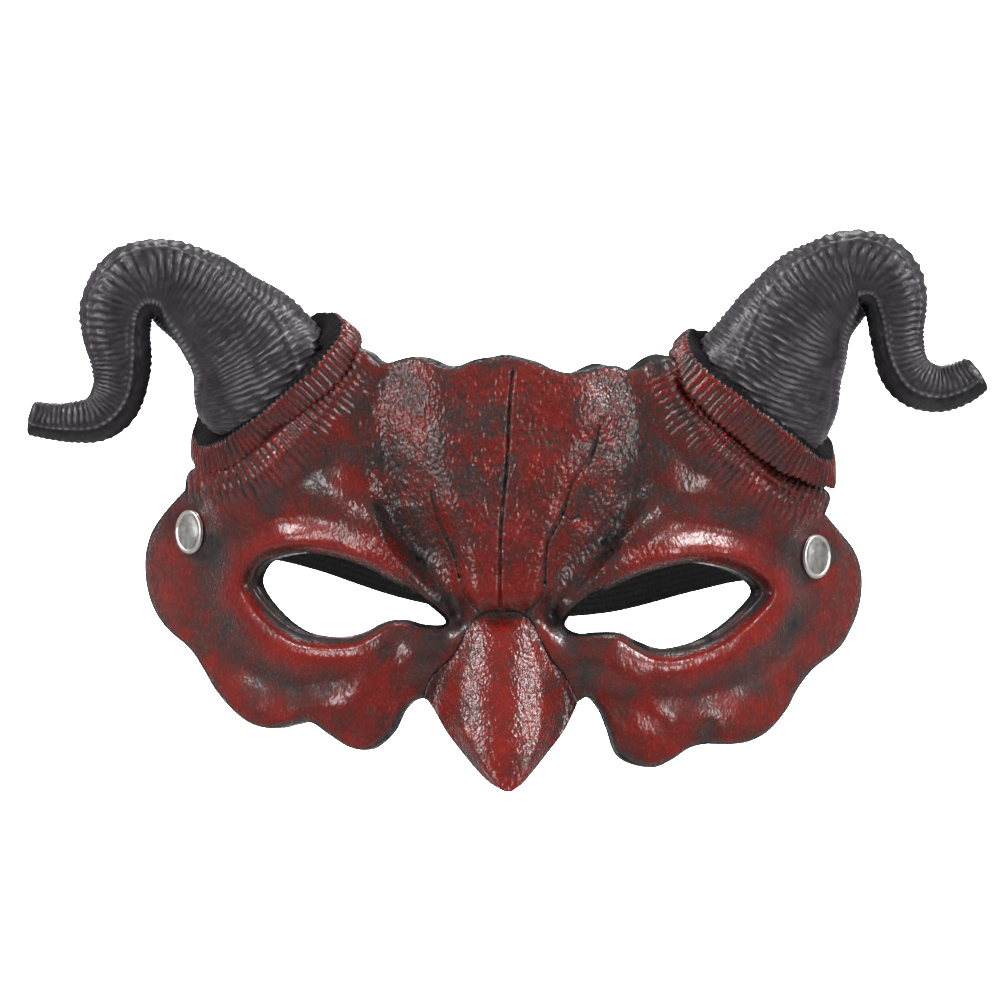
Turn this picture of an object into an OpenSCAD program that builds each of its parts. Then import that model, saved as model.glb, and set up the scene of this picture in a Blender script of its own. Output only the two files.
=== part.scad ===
// Horned half mask: a moulded foam face with a separate beak, two horns in pleated
// collars, and an elastic head strap held by a double-cap rivet at each temple.
// Frame: +X to the viewer's right, +Y to the back of the head, +Z up. The origin is
// on the mid-plane at eye height, where the bridge of the wearer's nose sits.

/* [Overall] */
// Width over the tips of the horns
mask_w = 240; // [228:1:252]
// Depth from the brow to the rear edge of the temples
wrap_depth = 57; // [52:1:62]

/* [Foam] */
// Wall of the face shell and of the beak
shell_t = 4.5; // [4:0.1:5]
// How far the beak stands in front of the eye line
beak_reach = 29; // [26:0.5:32]
// Depth of a horn's section as a share of its width
horn_flat = 0.8; // [0.75:0.01:0.9]
// How far a collar swells out from its horn
collar_swell = 4.4; // [3.5:0.1:5]

/* [Strap] */
// Width of the elastic
strap_w = 15; // [12:1:16]
// Thickness of the elastic
strap_t = 1.2; // [0.8:0.1:1.6]

/* [Rivets] */
// Diameter of the cap on the front
cap_d = 11; // [9:0.5:12]
// Diameter of the flange on the inside
flange_d = 9; // [8:0.5:10]
// Diameter of the shank
shank_d = 3.2; // [2.6:0.1:4]

/* [Hidden] */

unit = mask_w / 240;      // the outlines below are for a mask 240 mm wide
wrap_power = 2.6;         // how late the face turns back towards the temple
wrap_half = 90;           // half width at which it has turned back by wrap_depth
crown_lean = [15, 0.0024];  // the height above which the wall leans back, and how fast
cheek_lean = [20, 0.003];   // the same below the eyes
drill_h = 60;             // length of the bits that cut the rivet holes
cover = 0.1;              // gap between the foam and the elastic
swivel_gap = 0.3;         // gap round the rounded end of the loop
hole_d = shank_d + 0.1;   // rivet hole through the foam and the elastic
horn_sides = 20;
strap_rows = [-1, -0.8, -0.4, 0, 0.4, 0.8, 1];

// Heights of the moulded relief
forehead_h = 5;
forehead_half = [11, 30];  // half width at the beak's root and at the crown
forehead_span = [-2, 55];  // the heights of the two
forehead_soft = [0.55, 1.2];  // shares of the half width over which it falls away
brow_h = 5;
brow_at = [58, 38];
brow_size = [24, 14];
rim_h = [1.5, 6];          // the rim round an eye, beside the nose and towards the temple
rim_at = 6;                // from the eye's edge to the rim's crest
rim_w = 5;
rim_span = [14, 32];       // from the middle of the face, where the rim grows
valley_h = 2;              // the valley outside that rim
valley_at = 16;
valley_w = 4.5;
valley_span = [16, 30];    // where the valley sets in
valley_end = [66, 74];     // and where it fades out again
lobe_h = 4;
lobe_outer = [[50, -27], [14, 8]];  // centre and size of the cheek's outer lobe
lobe_inner = [[34, -33], [9, 9]];
roll_h = 6;
roll_w = 5.5;
bulk_share = 0.7;         // how much of the forehead and the brow the back of the wall follows

// Points are [x, z] in the front view unless a comment says otherwise.
centre_line = [for (z = [61.2 : -4.55 : -2.5]) [0, z]];

seam_left = [
  [0, -2.5], [-3.5, -2.8], [-6.6, -3.8], [-9.4, -7.3], [-10.8, -10.2], [-13.2, -14.2],
  [-18.2, -19], [-20.4, -24.4]
];
seam_right = [
  [0, -2.5], [2.5, -2.8], [5, -3.8], [7.4, -6.6], [9.5, -11.1], [11.6, -15],
  [15, -19], [18.2, -25.4]
];

cheek_left = [
  [-20.4, -24.4], [-23, -25.2], [-25.5, -27.6], [-28.5, -33], [-33.8, -37.2],
  [-38.8, -36.8], [-43.8, -33.8], [-48.8, -30.6], [-53.8, -31.2], [-58.8, -32.2],
  [-63.8, -31], [-68.5, -27.5], [-72.8, -22.5], [-75.8, -17.5], [-79.2, -12.5],
  [-85, -7.5], [-88.5, -2.5], [-90.2, 2.5], [-90.8, 7.5], [-90.5, 12.5],
  [-88.8, 17.5], [-85.2, 22.5], [-80.5, 27.5]
];
cheek_right = [
  [18.2, -25.4], [21, -24.2], [24, -27.5], [26, -32], [29, -39],
  [36.2, -41.8], [41.2, -40.2], [46.2, -37], [51.2, -36], [56.2, -36.2],
  [61.2, -35.5], [66.2, -32.8], [70.8, -27.5], [73.5, -22.5], [77.5, -17.5],
  [84, -12.5], [87.2, -7.5], [89.2, -2.5], [90, 2.5], [89.8, 7.5],
  [88, 12.5], [84, 17.5], [80.5, 21.5]
];

crown_left = [
  [-80.5, 27.5], [-79.5, 32], [-75, 34.2], [-68, 35.6], [-61.5, 39.4], [-55, 44.8],
  [-49.2, 50.4], [-44, 57.4], [-38.6, 63.2], [-34.5, 62], [-30.5, 59.2], [-22.5, 60.8],
  [-13.8, 58.2], [-7, 60.2], [0, 61.2]
];
crown_right = [
  [80.5, 21.5], [81.8, 26], [78.5, 29], [71.5, 32], [63.6, 37.3], [56.2, 44.2],
  [50.4, 51], [45.8, 58.4], [41, 61], [36.5, 60], [31.2, 57.5], [26.8, 58.6],
  [15.8, 56.8], [7, 59.6], [0, 61.2]
];

eye_left = [
  [-14.4, -5.4], [-20, 0], [-26, 4], [-34.8, 9], [-42.4, 11.2], [-49, 11.8], [-57, 10],
  [-60.2, 6], [-59.5, 2], [-55, -3.5], [-49.5, -7.6], [-43.5, -9], [-38.8, -9],
  [-34, -8], [-28.5, -5.2], [-24, -4.8], [-19.5, -6]
];
eye_right = [
  [14.6, -5.8], [19.4, -0.3], [24.8, 2.7], [33, 6.6], [42.4, 9.1], [49, 9.1], [57, 6.6],
  [61.4, 2.4], [58.5, -2], [53.5, -6.5], [47.5, -10], [41.2, -11.8], [36.2, -11.8],
  [31.5, -10], [27.5, -8], [22, -7.9], [18, -8.2]
];
eye_centre_left = [-38, 1];
eye_centre_right = [38, -1.5];

// The pleated roll of the brow that runs below each collar.
roll_left = [
  [-81, 27], [-72, 28], [-63.5, 31.5], [-56.5, 36.8], [-50.5, 42.6], [-44.5, 49.5], [-39, 56.5]
];
roll_right = [
  [81, 22], [73.4, 24.6], [66, 28.6], [58.6, 34], [50.8, 41.6], [44.6, 49.6], [40, 57]
];

rivet_left = [-78.8, 17];
rivet_right = [77.8, 10.8];

// Each horn: [x, y, z, width] from the hidden root to the tip.
horn_path_left = [
  [-54.6, 26, 41.5, 34], [-57, 23, 47, 40.5], [-58.8, 20.5, 52.8, 41.6],
  [-64.2, 17.5, 63.4, 33.6], [-71.2, 14.5, 70.8, 27.2], [-78.5, 12, 76.5, 23.6],
  [-85.6, 10, 80.2, 20.4], [-92.6, 9, 78.9, 19.8], [-96.6, 9, 73.6, 19], [-97, 9.5, 67, 17.4],
  [-96, 10.5, 60, 15.5], [-96, 11.5, 53.6, 13.6], [-98, 12.5, 48.6, 12.8],
  [-102.2, 13, 45.2, 11.6], [-108, 13.5, 44.4, 10.4], [-113.8, 14, 44.6, 9.4],
  [-118.2, 14, 45.5, 7.4]
];
horn_path_right = [
  [57.8, 26, 38.5, 35], [60.8, 23, 44.5, 41.5], [63.6, 20.5, 51, 42.8],
  [69.2, 17.5, 62.6, 34.6], [74.8, 15, 72.2, 28.8], [81.4, 13, 78.8, 24.4],
  [88, 12, 82.2, 20.6], [94, 11, 80.8, 19], [97, 11, 76.6, 17], [97.8, 11.5, 71, 14.8],
  [98, 12, 65, 13.2], [99.2, 12.5, 59.2, 12.8], [102.4, 13, 54.8, 12.8],
  [108.2, 13.5, 52.8, 12.2], [114.2, 13.5, 54.2, 11], [118, 13.5, 56.8, 8]
];

// The loop of elastic behind the temples: [x, y, z], from the left hinge to the right one.
loop_points = [
  [-82.6, 78, 17], [-79, 91, 17], [-71.5, 103, 17.2], [-60, 112.5, 17.4], [-46, 119, 14.2],
  [-24, 123.6, 7], [0, 125, 2.8], [24, 123.6, 3.4], [46, 119, 8.8], [60, 112.5, 11.8],
  [71.5, 103, 11.4], [79, 91, 10.8], [82.6, 78, 10.8]
];

// ---- curves ----

function curve(a, b, c, d, t) =
  0.5 * (2 * b + (c - a) * t + (2 * a - 5 * b + 4 * c - d) * t * t + (3 * b - a - 3 * c + d) * t * t * t);

// A point of the smooth line through p; t counts its points.
function along(p, t) =
  let (last = len(p) - 1, i = min(floor(t), last - 1))
  curve(p[max(i - 1, 0)], p[i], p[i + 1], p[min(i + 2, last)], t - i);

function smooth_line(p, n) =
  [for (i = [0 : (len(p) - 1) * n]) along(p, i / n)];

function smooth_ring(p, n) =
  let (k = len(p))
  [for (i = [0 : k - 1], j = [0 : n - 1])
    curve(p[(i + k - 1) % k], p[i], p[(i + 1) % k], p[(i + 2) % k], j / n)];

function closed(p) = concat(p, [p[0]]);

function without_last(p) = [for (i = [0 : len(p) - 2]) p[i]];

function gap_to(q, a, b) =
  let (d = b - a, t = max(0, min(1, ((q - a) * d) / (d * d))))
  norm(q - a - t * d);

function distance_to(q, p) = min([for (i = [0 : len(p) - 2]) gap_to(q, p[i], p[i + 1])]);

function step_up(a, b, v) = let (t = max(0, min(1, (v - a) / (b - a)))) t * t * (3 - 2 * t);

function hill(d, w) = exp(-(d / w) * (d / w));

function hill2(q, c, rx, rz) =
  hill(norm([(q.x - c.x) / rx, (q.y - c.y) / rz]), 1);

// ---- the surface of the face, for a point q = [x, z] of the 240 mm mask ----

function on_left(q) = q.x < 0;
function eye_of(q) = on_left(q) ? eye_ring_left : eye_ring_right;
function rivet_of(q) = on_left(q) ? rivet_left : rivet_right;
function roll_of(q) = on_left(q) ? roll_left : roll_right;
function other_side(q) = on_left(q) ? -1 : 1;

eye_ring_left = smooth_ring(eye_left, 2);
eye_ring_right = smooth_ring(eye_right, 2);

function wrap(x) = wrap_depth * pow(abs(x) / wrap_half, wrap_power);
function wrap_slope(x) =
  sign(x) * wrap_depth * wrap_power / wrap_half * pow(abs(x) / wrap_half, wrap_power - 1);
function lean(z) =
  crown_lean[1] * pow(max(0, z - crown_lean[0]), 2) + cheek_lean[1] * pow(max(0, -cheek_lean[0] - z), 2);

// Out of the back of the wall, in plan: [x, y].
function inward(x) = [-wrap_slope(x), 1] / norm([wrap_slope(x), 1]);

function forehead(q) =
  let (share = step_up(forehead_span[0], forehead_span[1], q.y),
       half = forehead_half[0] + (forehead_half[1] - forehead_half[0]) * share)
  forehead_h * (1 - step_up(forehead_soft[0], forehead_soft[1], abs(q.x) / half)) * step_up(-7, 3, q.y);

function brow(q) =
  brow_h * hill2(q, [brow_at.x * other_side(q), brow_at.y], brow_size.x, brow_size.y);

function bulk(q) = bulk_share * (forehead(q) + brow(q));

function lobe(q, shape, side) = hill2(q, [shape[0].x * side, shape[0].y], shape[1].x, shape[1].y);

function relief(q) =
  let (d = distance_to(q, closed(eye_of(q))), side = other_side(q))
  forehead(q) + brow(q)
  + (rim_h[0] + (rim_h[1] - rim_h[0]) * step_up(rim_span[0], rim_span[1], abs(q.x))) * hill(d - rim_at, rim_w)
  - valley_h * hill(d - valley_at, valley_w) * step_up(valley_span[0], valley_span[1], abs(q.x))
    * (1 - step_up(valley_end[0], valley_end[1], abs(q.x)))
  + lobe_h * lobe(q, lobe_outer, side) + lobe_h * lobe(q, lobe_inner, side)
  + roll_h * hill(distance_to(q, roll_of(q)), roll_w);

function face_y(q) = wrap(q.x) + lean(q.y) - shell_t;

// The front and the back of the wall at q, in millimetres of the part.
function front_point(q) = unit * [q.x, face_y(q) - relief(q), q.y];
function back_point(q) =
  let (n = inward(q.x) * shell_t, share = step_up(0, 8, distance_to(q, closed(eye_of(q)))))
  unit * [q.x + share * n.x, face_y(q) - bulk(q) + n.y, q.y];

// ---- the face shell: a ring of wall round each eye ----

ring_steps = [0, 0.07, 0.17, 0.3, 0.46, 0.64, 0.82, 1];

function cross2(a, b) = a.x * b.y - a.y * b.x;

// How far along d from c the eye's edge lies.
function reach(c, d, ring) =
  min([for (i = [0 : len(ring) - 1])
    let (a = ring[i] - c, e = ring[(i + 1) % len(ring)] - ring[i], k = cross2(d, e),
         t = k == 0 ? -1 : cross2(a, e) / k, u = k == 0 ? -1 : cross2(a, d) / k)
    (u >= -1e-6 && u <= 1 + 1e-6 && t > 0) ? t : 1e6]);

function border(seam, cheek, crown) =
  concat(without_last(centre_line), without_last(smooth_line(seam, 2)),
    without_last(smooth_line(cheek, 2)), without_last(smooth_line(crown, 2)));

// The outline of an eye is that of the opening's back edge. Its front edge lies further out.
function front_ring(eye) = [for (p = eye) p - [inward(p.x).x * shell_t, 0]];

function ring_points(edge, eye, c) =
  [for (p = edge) let (k = reach(c, p - c, eye), inner = c + k * (p - c))
    for (s = ring_steps) inner + s * (p - inner)];

// Quads of a grid of a closed rows by b columns, turned over where flip is set.
function turned(f, flip) = flip ? [f[3], f[2], f[1], f[0]] : f;

// first is the index of the half's first point; open is how many border steps have no outer wall.
function half_faces(n, first, open, flip) =
  let (m = len(ring_steps), back = first + n * m)
  concat(
    [for (i = [0 : n - 1], j = [0 : m - 2])
      let (a = i * m + j, b = (i + 1) % n * m + j)
      turned([first + a, first + b, first + b + 1, first + a + 1], !flip)],
    [for (i = [0 : n - 1], j = [0 : m - 2])
      let (a = i * m + j, b = (i + 1) % n * m + j)
      turned([back + a, back + b, back + b + 1, back + a + 1], flip)],
    [for (i = [0 : n - 1])
      let (a = i * m, b = (i + 1) % n * m)
      turned([first + a, first + b, back + b, back + a], flip)],
    [for (i = [open : n - 1])
      let (a = i * m + m - 1, b = (i + 1) % n * m + m - 1)
      turned([first + a, first + b, back + b, back + a], !flip)]
  );

module face_solid() {
  edge_l = border(seam_left, cheek_left, crown_left);
  edge_r = border(seam_right, cheek_right, crown_right);
  front_l = ring_points(edge_l, front_ring(eye_ring_left), eye_centre_left);
  front_r = ring_points(edge_r, front_ring(eye_ring_right), eye_centre_right);
  back_l = ring_points(edge_l, eye_ring_left, eye_centre_left);
  back_r = ring_points(edge_r, eye_ring_right, eye_centre_right);
  open = len(centre_line) - 1;
  polyhedron(
    points = concat(
      [for (q = front_l) front_point(q)], [for (q = back_l) back_point(q)],
      [for (q = front_r) front_point(q)], [for (q = back_r) back_point(q)]),
    faces = concat(
      half_faces(len(edge_l), 0, open, false),
      half_faces(len(edge_r), 2 * len(front_l), open, true)),
    convexity = 10);
}

module face_shell() {
  color([0.45, 0.1, 0.09])
    difference() {
      face_solid();
      for (r = [rivet_left, rivet_right])
        at_rivet(r) cylinder(d = hole_d, h = drill_h, center = true, $fn = 32);
    }
}

// ---- the beak: a grid between the two seams and the free edges below them ----

beak_left = [
  [-20.4, -24.4], [-18.6, -26], [-14.8, -32.5], [-11, -37.5], [-6.8, -42.5], [-3.4, -45.6], [0, -47.4]
];
beak_right = [
  [18.2, -25.4], [17.4, -27.4], [14.8, -32.5], [11, -37.5], [7, -42.5], [4.2, -45.6], [1.6, -47.4]
];
beak_columns = 16;
edge_depth = 6;           // from the ridge back to the free edges
tip_depth = 2.5;          // the same at the tip
tip_droop = 0.12;         // how far the ridge falls back again at the tip
droop_span = [0.8, 1.15]; // shares of the ridge's height over which it falls back
ridge_top = -3;           // where the straight ridge starts
ridge_drop = 40;          // and the height over which it reaches forward
top_arch = 1.2;           // how far the rows below the top edge bow upwards
swell_round = 2.3;        // how full the beak's section is
swell_edge = 0.8;         // and how steeply it meets the edge
edge_span = [-25, -47];   // heights over which the edge leaves the face for the ridge
tip_span = [-42, -47];    // heights over which edge_depth becomes tip_depth
arch_rows = 4;            // how many rows below the top edge bow upwards
inside_edge = 0.7;        // how much narrower the inside is, in walls a side
inside_least = 0.3;       // its least width, as a share of the outside's
// Half width of the swollen part of the beak, by height: [z, half width].
beak_swell = [
  [-48, 1], [-45.6, 4], [-42.5, 7.4], [-37.5, 11.8], [-32.5, 15], [-27, 16.8], [-22, 16.6],
  [-16, 14.2], [-10, 11], [-5, 8.4], [-2, 7]
];
// The seam's first points form the beak's top edge, so its rows start after them.
top_points = 4;

function beak_side(seam, edge) =
  let (s = smooth_line(seam, 2))
  concat([for (i = [top_points : len(s) - 2]) s[i]], smooth_line(edge, 3));

// The top edge, from its left end to its right end.
function beak_top() =
  let (l = smooth_line(seam_left, 2), r = smooth_line(seam_right, 2))
  concat([for (i = [top_points : -1 : 1]) l[i]], [for (i = [0 : top_points]) r[i]]);

function ridge_y(z) =
  let (t = max(0, (ridge_top - z) / ridge_drop))
  -edge_depth - (beak_reach - edge_depth) * t * (1 - tip_droop * step_up(droop_span[0], droop_span[1], t));

// Depth of the beak's edge: on the face along the seam, and drawn forward to the tip below it.
function edge_y(q) =
  let (k = step_up(edge_span[0], edge_span[1], q.y),
       deep = edge_depth + (tip_depth - edge_depth) * step_up(tip_span[0], tip_span[1], q.y))
  (face_y(q) - relief(q)) * (1 - k) + (ridge_y(q.y) + deep) * k;

function beak_row(i) =
  let (a = beak_side(seam_left, beak_left)[i], b = beak_side(seam_right, beak_right)[i],
       top = beak_top(), arch = 1 - step_up(0, arch_rows, i))
  [for (j = [0 : beak_columns])
    let (t = j / beak_columns, flat = a + t * (b - a),
         q = i == 0 ? along_even(top, t) : flat + [0, arch * top_arch * (1 - pow(2 * t - 1, 2))],
         off = min(1, abs(q.x - (a.x + b.x) / 2) / lookup(q.y, beak_swell)),
         swell = i == 0 ? 0 : pow(1 - pow(off, swell_round), swell_edge),
         y_edge = i == 0 ? face_y(q) - relief(q) : edge_y(a) * (1 - t) + edge_y(b) * t)
    [q.x, y_edge + (ridge_y(q.y) - y_edge) * swell, q.y]];

function along_even(p, t) =
  let (k = t * (len(p) - 1), i = min(floor(k), len(p) - 2))
  p[i] + (k - i) * (p[i + 1] - p[i]);

// The inside of a row: as deep as the wall is thick, and narrower by the wall on both sides.
function beak_back(row) =
  let (a = row[0], b = row[beak_columns], mid = (a.x + b.x) / 2, half = (b.x - a.x) / 2,
       k = max(inside_least, (half - inside_edge * shell_t) / half))
  [for (p = row) [mid + k * (p.x - mid), p.y + shell_t, p.z]];

module nose_beak() {
  rows = [for (i = [0 : len(beak_side(seam_left, beak_left)) - 1]) beak_row(i)];
  m = beak_columns + 1;
  n = len(rows);
  back = n * m;
  color([0.5, 0.1, 0.09])
    polyhedron(
      points = concat([for (r = rows, p = r) unit * p], [for (r = rows, p = beak_back(r)) unit * p]),
      faces = concat(
        [for (i = [0 : n - 2], j = [0 : m - 2])
          [i * m + j, i * m + j + 1, (i + 1) * m + j + 1, (i + 1) * m + j]],
        [for (i = [0 : n - 2], j = [0 : m - 2])
          [back + (i + 1) * m + j, back + (i + 1) * m + j + 1, back + i * m + j + 1, back + i * m + j]],
        [for (j = [0 : m - 2]) [j, back + j, back + j + 1, j + 1]],
        [for (j = [0 : m - 2])
          [(n - 1) * m + j + 1, back + (n - 1) * m + j + 1, back + (n - 1) * m + j, (n - 1) * m + j]],
        [for (i = [0 : n - 2]) [(i + 1) * m, back + (i + 1) * m, back + i * m, i * m]],
        [for (i = [0 : n - 2])
          [i * m + m - 1, back + i * m + m - 1, back + (i + 1) * m + m - 1, (i + 1) * m + m - 1]]
      ),
      convexity = 10);
}

// ---- horns and collars: oval sections swept along a path ----

// Close steps at the root, where the collar sits, and wider ones beyond it.
horn_steps_root = [for (t = [0 : 0.25 : 2.25]) t];
function horn_steps(path) = concat(horn_steps_root, [for (t = [2.5 : 0.5 : len(path) - 1]) t]);

function spot(path, t) = let (p = along(path, t)) [p[0], p[1], p[2]];
function heading(path, t) =
  let (d = spot(path, min(t + heading_step, len(path) - 1)) - spot(path, max(t - heading_step, 0)))
  d / norm(d);

tip_length = 1.6;
root_turn = 0.6;          // how far the horn's flat face turns outwards at its root
turn_span = [1.5, 5];     // the path points between which it turns to the front again
heading_step = 0.05;

// One oval of a horn at t, grown by swell, as horn_sides points.
function oval(path, t, swell) =
  let (d = heading(path, t),
       turn = -root_turn * sign(path[0][0]) * (1 - step_up(turn_span[0], turn_span[1], t)),
       s = cross(d, [turn, 1, 0]), side = s / norm(s), up = cross(side, d),
       wide = along(path, t)[3] / 2, c = spot(path, t))
  [for (k = [0 : horn_sides - 1])
    let (a = 360 * k / horn_sides)
    unit * (c + side * (wide + swell) * cos(a) + up * (wide * horn_flat + swell) * sin(a))];

function tube_faces(n, m) =
  [for (i = [0 : n - 2], k = [0 : m - 1])
    [i * m + k, i * m + (k + 1) % m, (i + 1) * m + (k + 1) % m, (i + 1) * m + k]];

module horn(path) {
  steps = horn_steps(path);
  n = len(steps);
  m = horn_sides;
  last = len(path) - 1;
  color([0.16, 0.15, 0.16])
    polyhedron(
      points = concat([for (t = steps) each oval(path, t, 0)],
        [unit * (spot(path, last) + tip_length * heading(path, last))]),
      faces = concat(
        tube_faces(n, m),
        [[for (k = [m - 1 : -1 : 0]) k]],
        [for (k = [0 : m - 1]) [(n - 1) * m + k, (n - 1) * m + (k + 1) % m, n * m]]
      ),
      convexity = 6);
}

collar_edge = 0.8;        // thickness of a collar along its two edges
collar_span = [0.75, 2.25];  // where a collar starts and ends along its horn

module horn_collar(path) {
  steps = [for (t = [collar_span[0] : 0.25 : collar_span[1]]) t];
  n = len(steps);
  m = horn_sides;
  color([0.42, 0.1, 0.1])
    polyhedron(
      points = concat(
        [for (i = [0 : n - 1])
          each oval(path, steps[i], collar_edge + (collar_swell - collar_edge) * sin(180 * i / (n - 1)))],
        [for (i = [0 : n - 1]) each oval(path, steps[i], 0)]),
      faces = concat(
        tube_faces(n, m),
        [for (f = tube_faces(n, m)) [n * m + f[3], n * m + f[2], n * m + f[1], n * m + f[0]]],
        [for (k = [0 : m - 1]) [(k + 1) % m, k, n * m + k, n * m + (k + 1) % m]],
        [for (k = [0 : m - 1])
          let (a = (n - 1) * m + k, b = (n - 1) * m + (k + 1) % m)
          [a, b, n * m + b, n * m + a]]
      ),
      convexity = 8);
}

// ---- rivets ----

// Puts the wall's outer face at z = 0, with +z pointing out of the front.
module at_rivet(r) {
  n = inward(r.x);
  translate(unit * [r.x, face_y(r), r.y])
    rotate([0, 0, atan2(-n.y, -n.x)])
      rotate([0, 90, 0])
        children();
}

cap_seat = 0.3;           // the cap's underside, above the wall
cap_edge = 0.5;           // thickness of the cap's rim
cap_h = 1.7;
dome_drop = 1.55 * cap_d; // from the rim down to the centre of the dome
dome_r = norm([dome_drop, cap_d / 2]);
socket_top = 1.1;         // the top of the shank, above the wall
flange_t = 0.8;
post_foot = -(shell_t + cover + strap_t + cover);
socket_gap = 0.02;        // round the shank, inside the cap
overlap = 0.1;            // of the shank with its flange

module rivet_cap(r) {
  color([0.75, 0.74, 0.72])
    at_rivet(r)
      translate([0, 0, cap_seat])
        rotate_extrude($fn = 96)
          difference() {
            union() {
              square([cap_d / 2, cap_edge]);
              intersection() {
                translate([0, cap_edge - dome_drop]) circle(r = dome_r, $fn = 192);
                square([cap_d / 2, cap_h]);
              }
            }
            square([shank_d / 2 + socket_gap, socket_top - cap_seat]);
          }
}

module rivet_post(r) {
  color([0.7, 0.69, 0.67])
    at_rivet(r) {
      translate([0, 0, post_foot - flange_t]) cylinder(d = flange_d, h = flange_t, $fn = 48);
      translate([0, 0, post_foot - overlap]) cylinder(d = shank_d, h = socket_top - post_foot, $fn = 32);
    }
}

// ---- the strap: one elastic, drawn as two fixed ends and the loop that swings ----

// The middle of the elastic where it lies along the inside of the temple, for a point of the wall.
function tab_point(x, z) =
  let (n = inward(x) * (shell_t + cover + strap_t / 2)) [x + n.x, face_y([x, z]) + n.y, z];

tab_x = [72, 75, 78.8, 82, 85];

function strap_side(side, z) =
  concat([for (x = tab_x) tab_point(side * x, z)],
    [[side * 82.6, 52.5, z], [side * 83.2, 58, z], [side * 83.3, 65, z]]);

function backwards(p) = [for (i = [len(p) - 1 : -1 : 0]) p[i]];

line_steps = 4;
strap_line = smooth_line(
  concat(strap_side(-1, rivet_left.y), loop_points, backwards(strap_side(1, rivet_right.y))), line_steps);

// Running length of the strap at each of its points.
function running(p, i = 0, sum = 0) =
  i >= len(p) ? [] : concat([sum + (i ? norm(p[i] - p[i - 1]) : 0)],
    running(p, i + 1, sum + (i ? norm(p[i] - p[i - 1]) : 0)));
strap_run = running(strap_line);
strap_length = strap_run[len(strap_run) - 1];

function strap_index(s) =
  let (found = [for (i = [0 : len(strap_run) - 2]) if (strap_run[i + 1] >= s) i])
  len(found) ? found[0] : len(strap_run) - 2;

function strap_at(s) =
  let (i = strap_index(s), t = (s - strap_run[i]) / (strap_run[i + 1] - strap_run[i]))
  strap_line[i] + t * (strap_line[i + 1] - strap_line[i]);

// A point of the elastic: s along it, w across it and v through it.
function strap_point(s, w, v) =
  let (d = strap_at(min(s + 1, strap_length)) - strap_at(max(s - 1, 0)), h = cross(d, [0, 0, 1]),
       n = h / norm(h), u = cross(n, d) / norm(d))
  unit * (strap_at(s) + w * u + v * n);

// Where the hinges are along the elastic.
hinge_left = strap_run[line_steps * (len(tab_x) + 2)];
hinge_right = strap_length - hinge_left;

module ribbon(starts, ends, steps) {
  m = len(strap_rows);
  n = steps + 1;
  half = strap_w / 2;
  side = m * n;
  color([0.08, 0.08, 0.08])
    polyhedron(
      points = [for (v = [-strap_t / 2, strap_t / 2], k = [0 : steps], i = [0 : m - 1])
        strap_point(starts[i] + (ends[i] - starts[i]) * k / steps, half * strap_rows[i], v)],
      faces = concat(
        [for (k = [0 : n - 2], i = [0 : m - 2])
          [k * m + i, k * m + i + 1, (k + 1) * m + i + 1, (k + 1) * m + i]],
        [for (k = [0 : n - 2], i = [0 : m - 2])
          [side + (k + 1) * m + i, side + (k + 1) * m + i + 1, side + k * m + i + 1, side + k * m + i]],
        [for (k = [0 : n - 2]) [(k + 1) * m, side + (k + 1) * m, side + k * m, k * m]],
        [for (k = [0 : n - 2])
          [k * m + m - 1, side + k * m + m - 1, side + (k + 1) * m + m - 1, (k + 1) * m + m - 1]],
        [for (i = [0 : m - 2]) [i, side + i, side + i + 1, i + 1]],
        [for (i = [0 : m - 2])
          [(n - 1) * m + i + 1, side + (n - 1) * m + i + 1, side + (n - 1) * m + i, (n - 1) * m + i]]
      ),
      convexity = 6);
}

// The loop ends in a half round about each hinge. The fixed ends are cut square, clear of it.
loop_round = [for (w = strap_rows) strap_w / 2 * sqrt(1.0001 - w * w)];
square_cut = [for (w = strap_rows) strap_w / 2 + swivel_gap];

module strap_end(r, left) {
  flat = [for (w = strap_rows) 0];
  difference() {
    if (left)
      ribbon(flat, [for (k = square_cut) hinge_left - k], 8);
    else
      ribbon([for (k = square_cut) hinge_right + k], [for (k = flat) strap_length], 8);
    at_rivet(r) cylinder(d = hole_d, h = drill_h, center = true, $fn = 32);
  }
}

module strap_loop() {
  ribbon([for (k = loop_round) hinge_left - k], [for (k = loop_round) hinge_right + k], 56);
}

face_shell();
nose_beak();
horn(horn_path_left);  // horn_left
horn(horn_path_right);  // horn_right
horn_collar(horn_path_left);  // horn_collar_left
horn_collar(horn_path_right);  // horn_collar_right
rivet_cap(rivet_left);  // rivet_cap_left
rivet_cap(rivet_right);  // rivet_cap_right
rivet_post(rivet_left);  // rivet_post_left
rivet_post(rivet_right);  // rivet_post_right
strap_end(rivet_left, true);  // strap_end_left
strap_end(rivet_right, false);  // strap_end_right
strap_loop();
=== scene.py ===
"""Looks of the horned half mask: painted foam face and beak, horns in pleated collars,
two rivets and one elastic strap. Lengths in the tables below are in millimetres, in the
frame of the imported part: +X to the viewer's right, +Y to the back of the head, +Z up."""

import math

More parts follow.
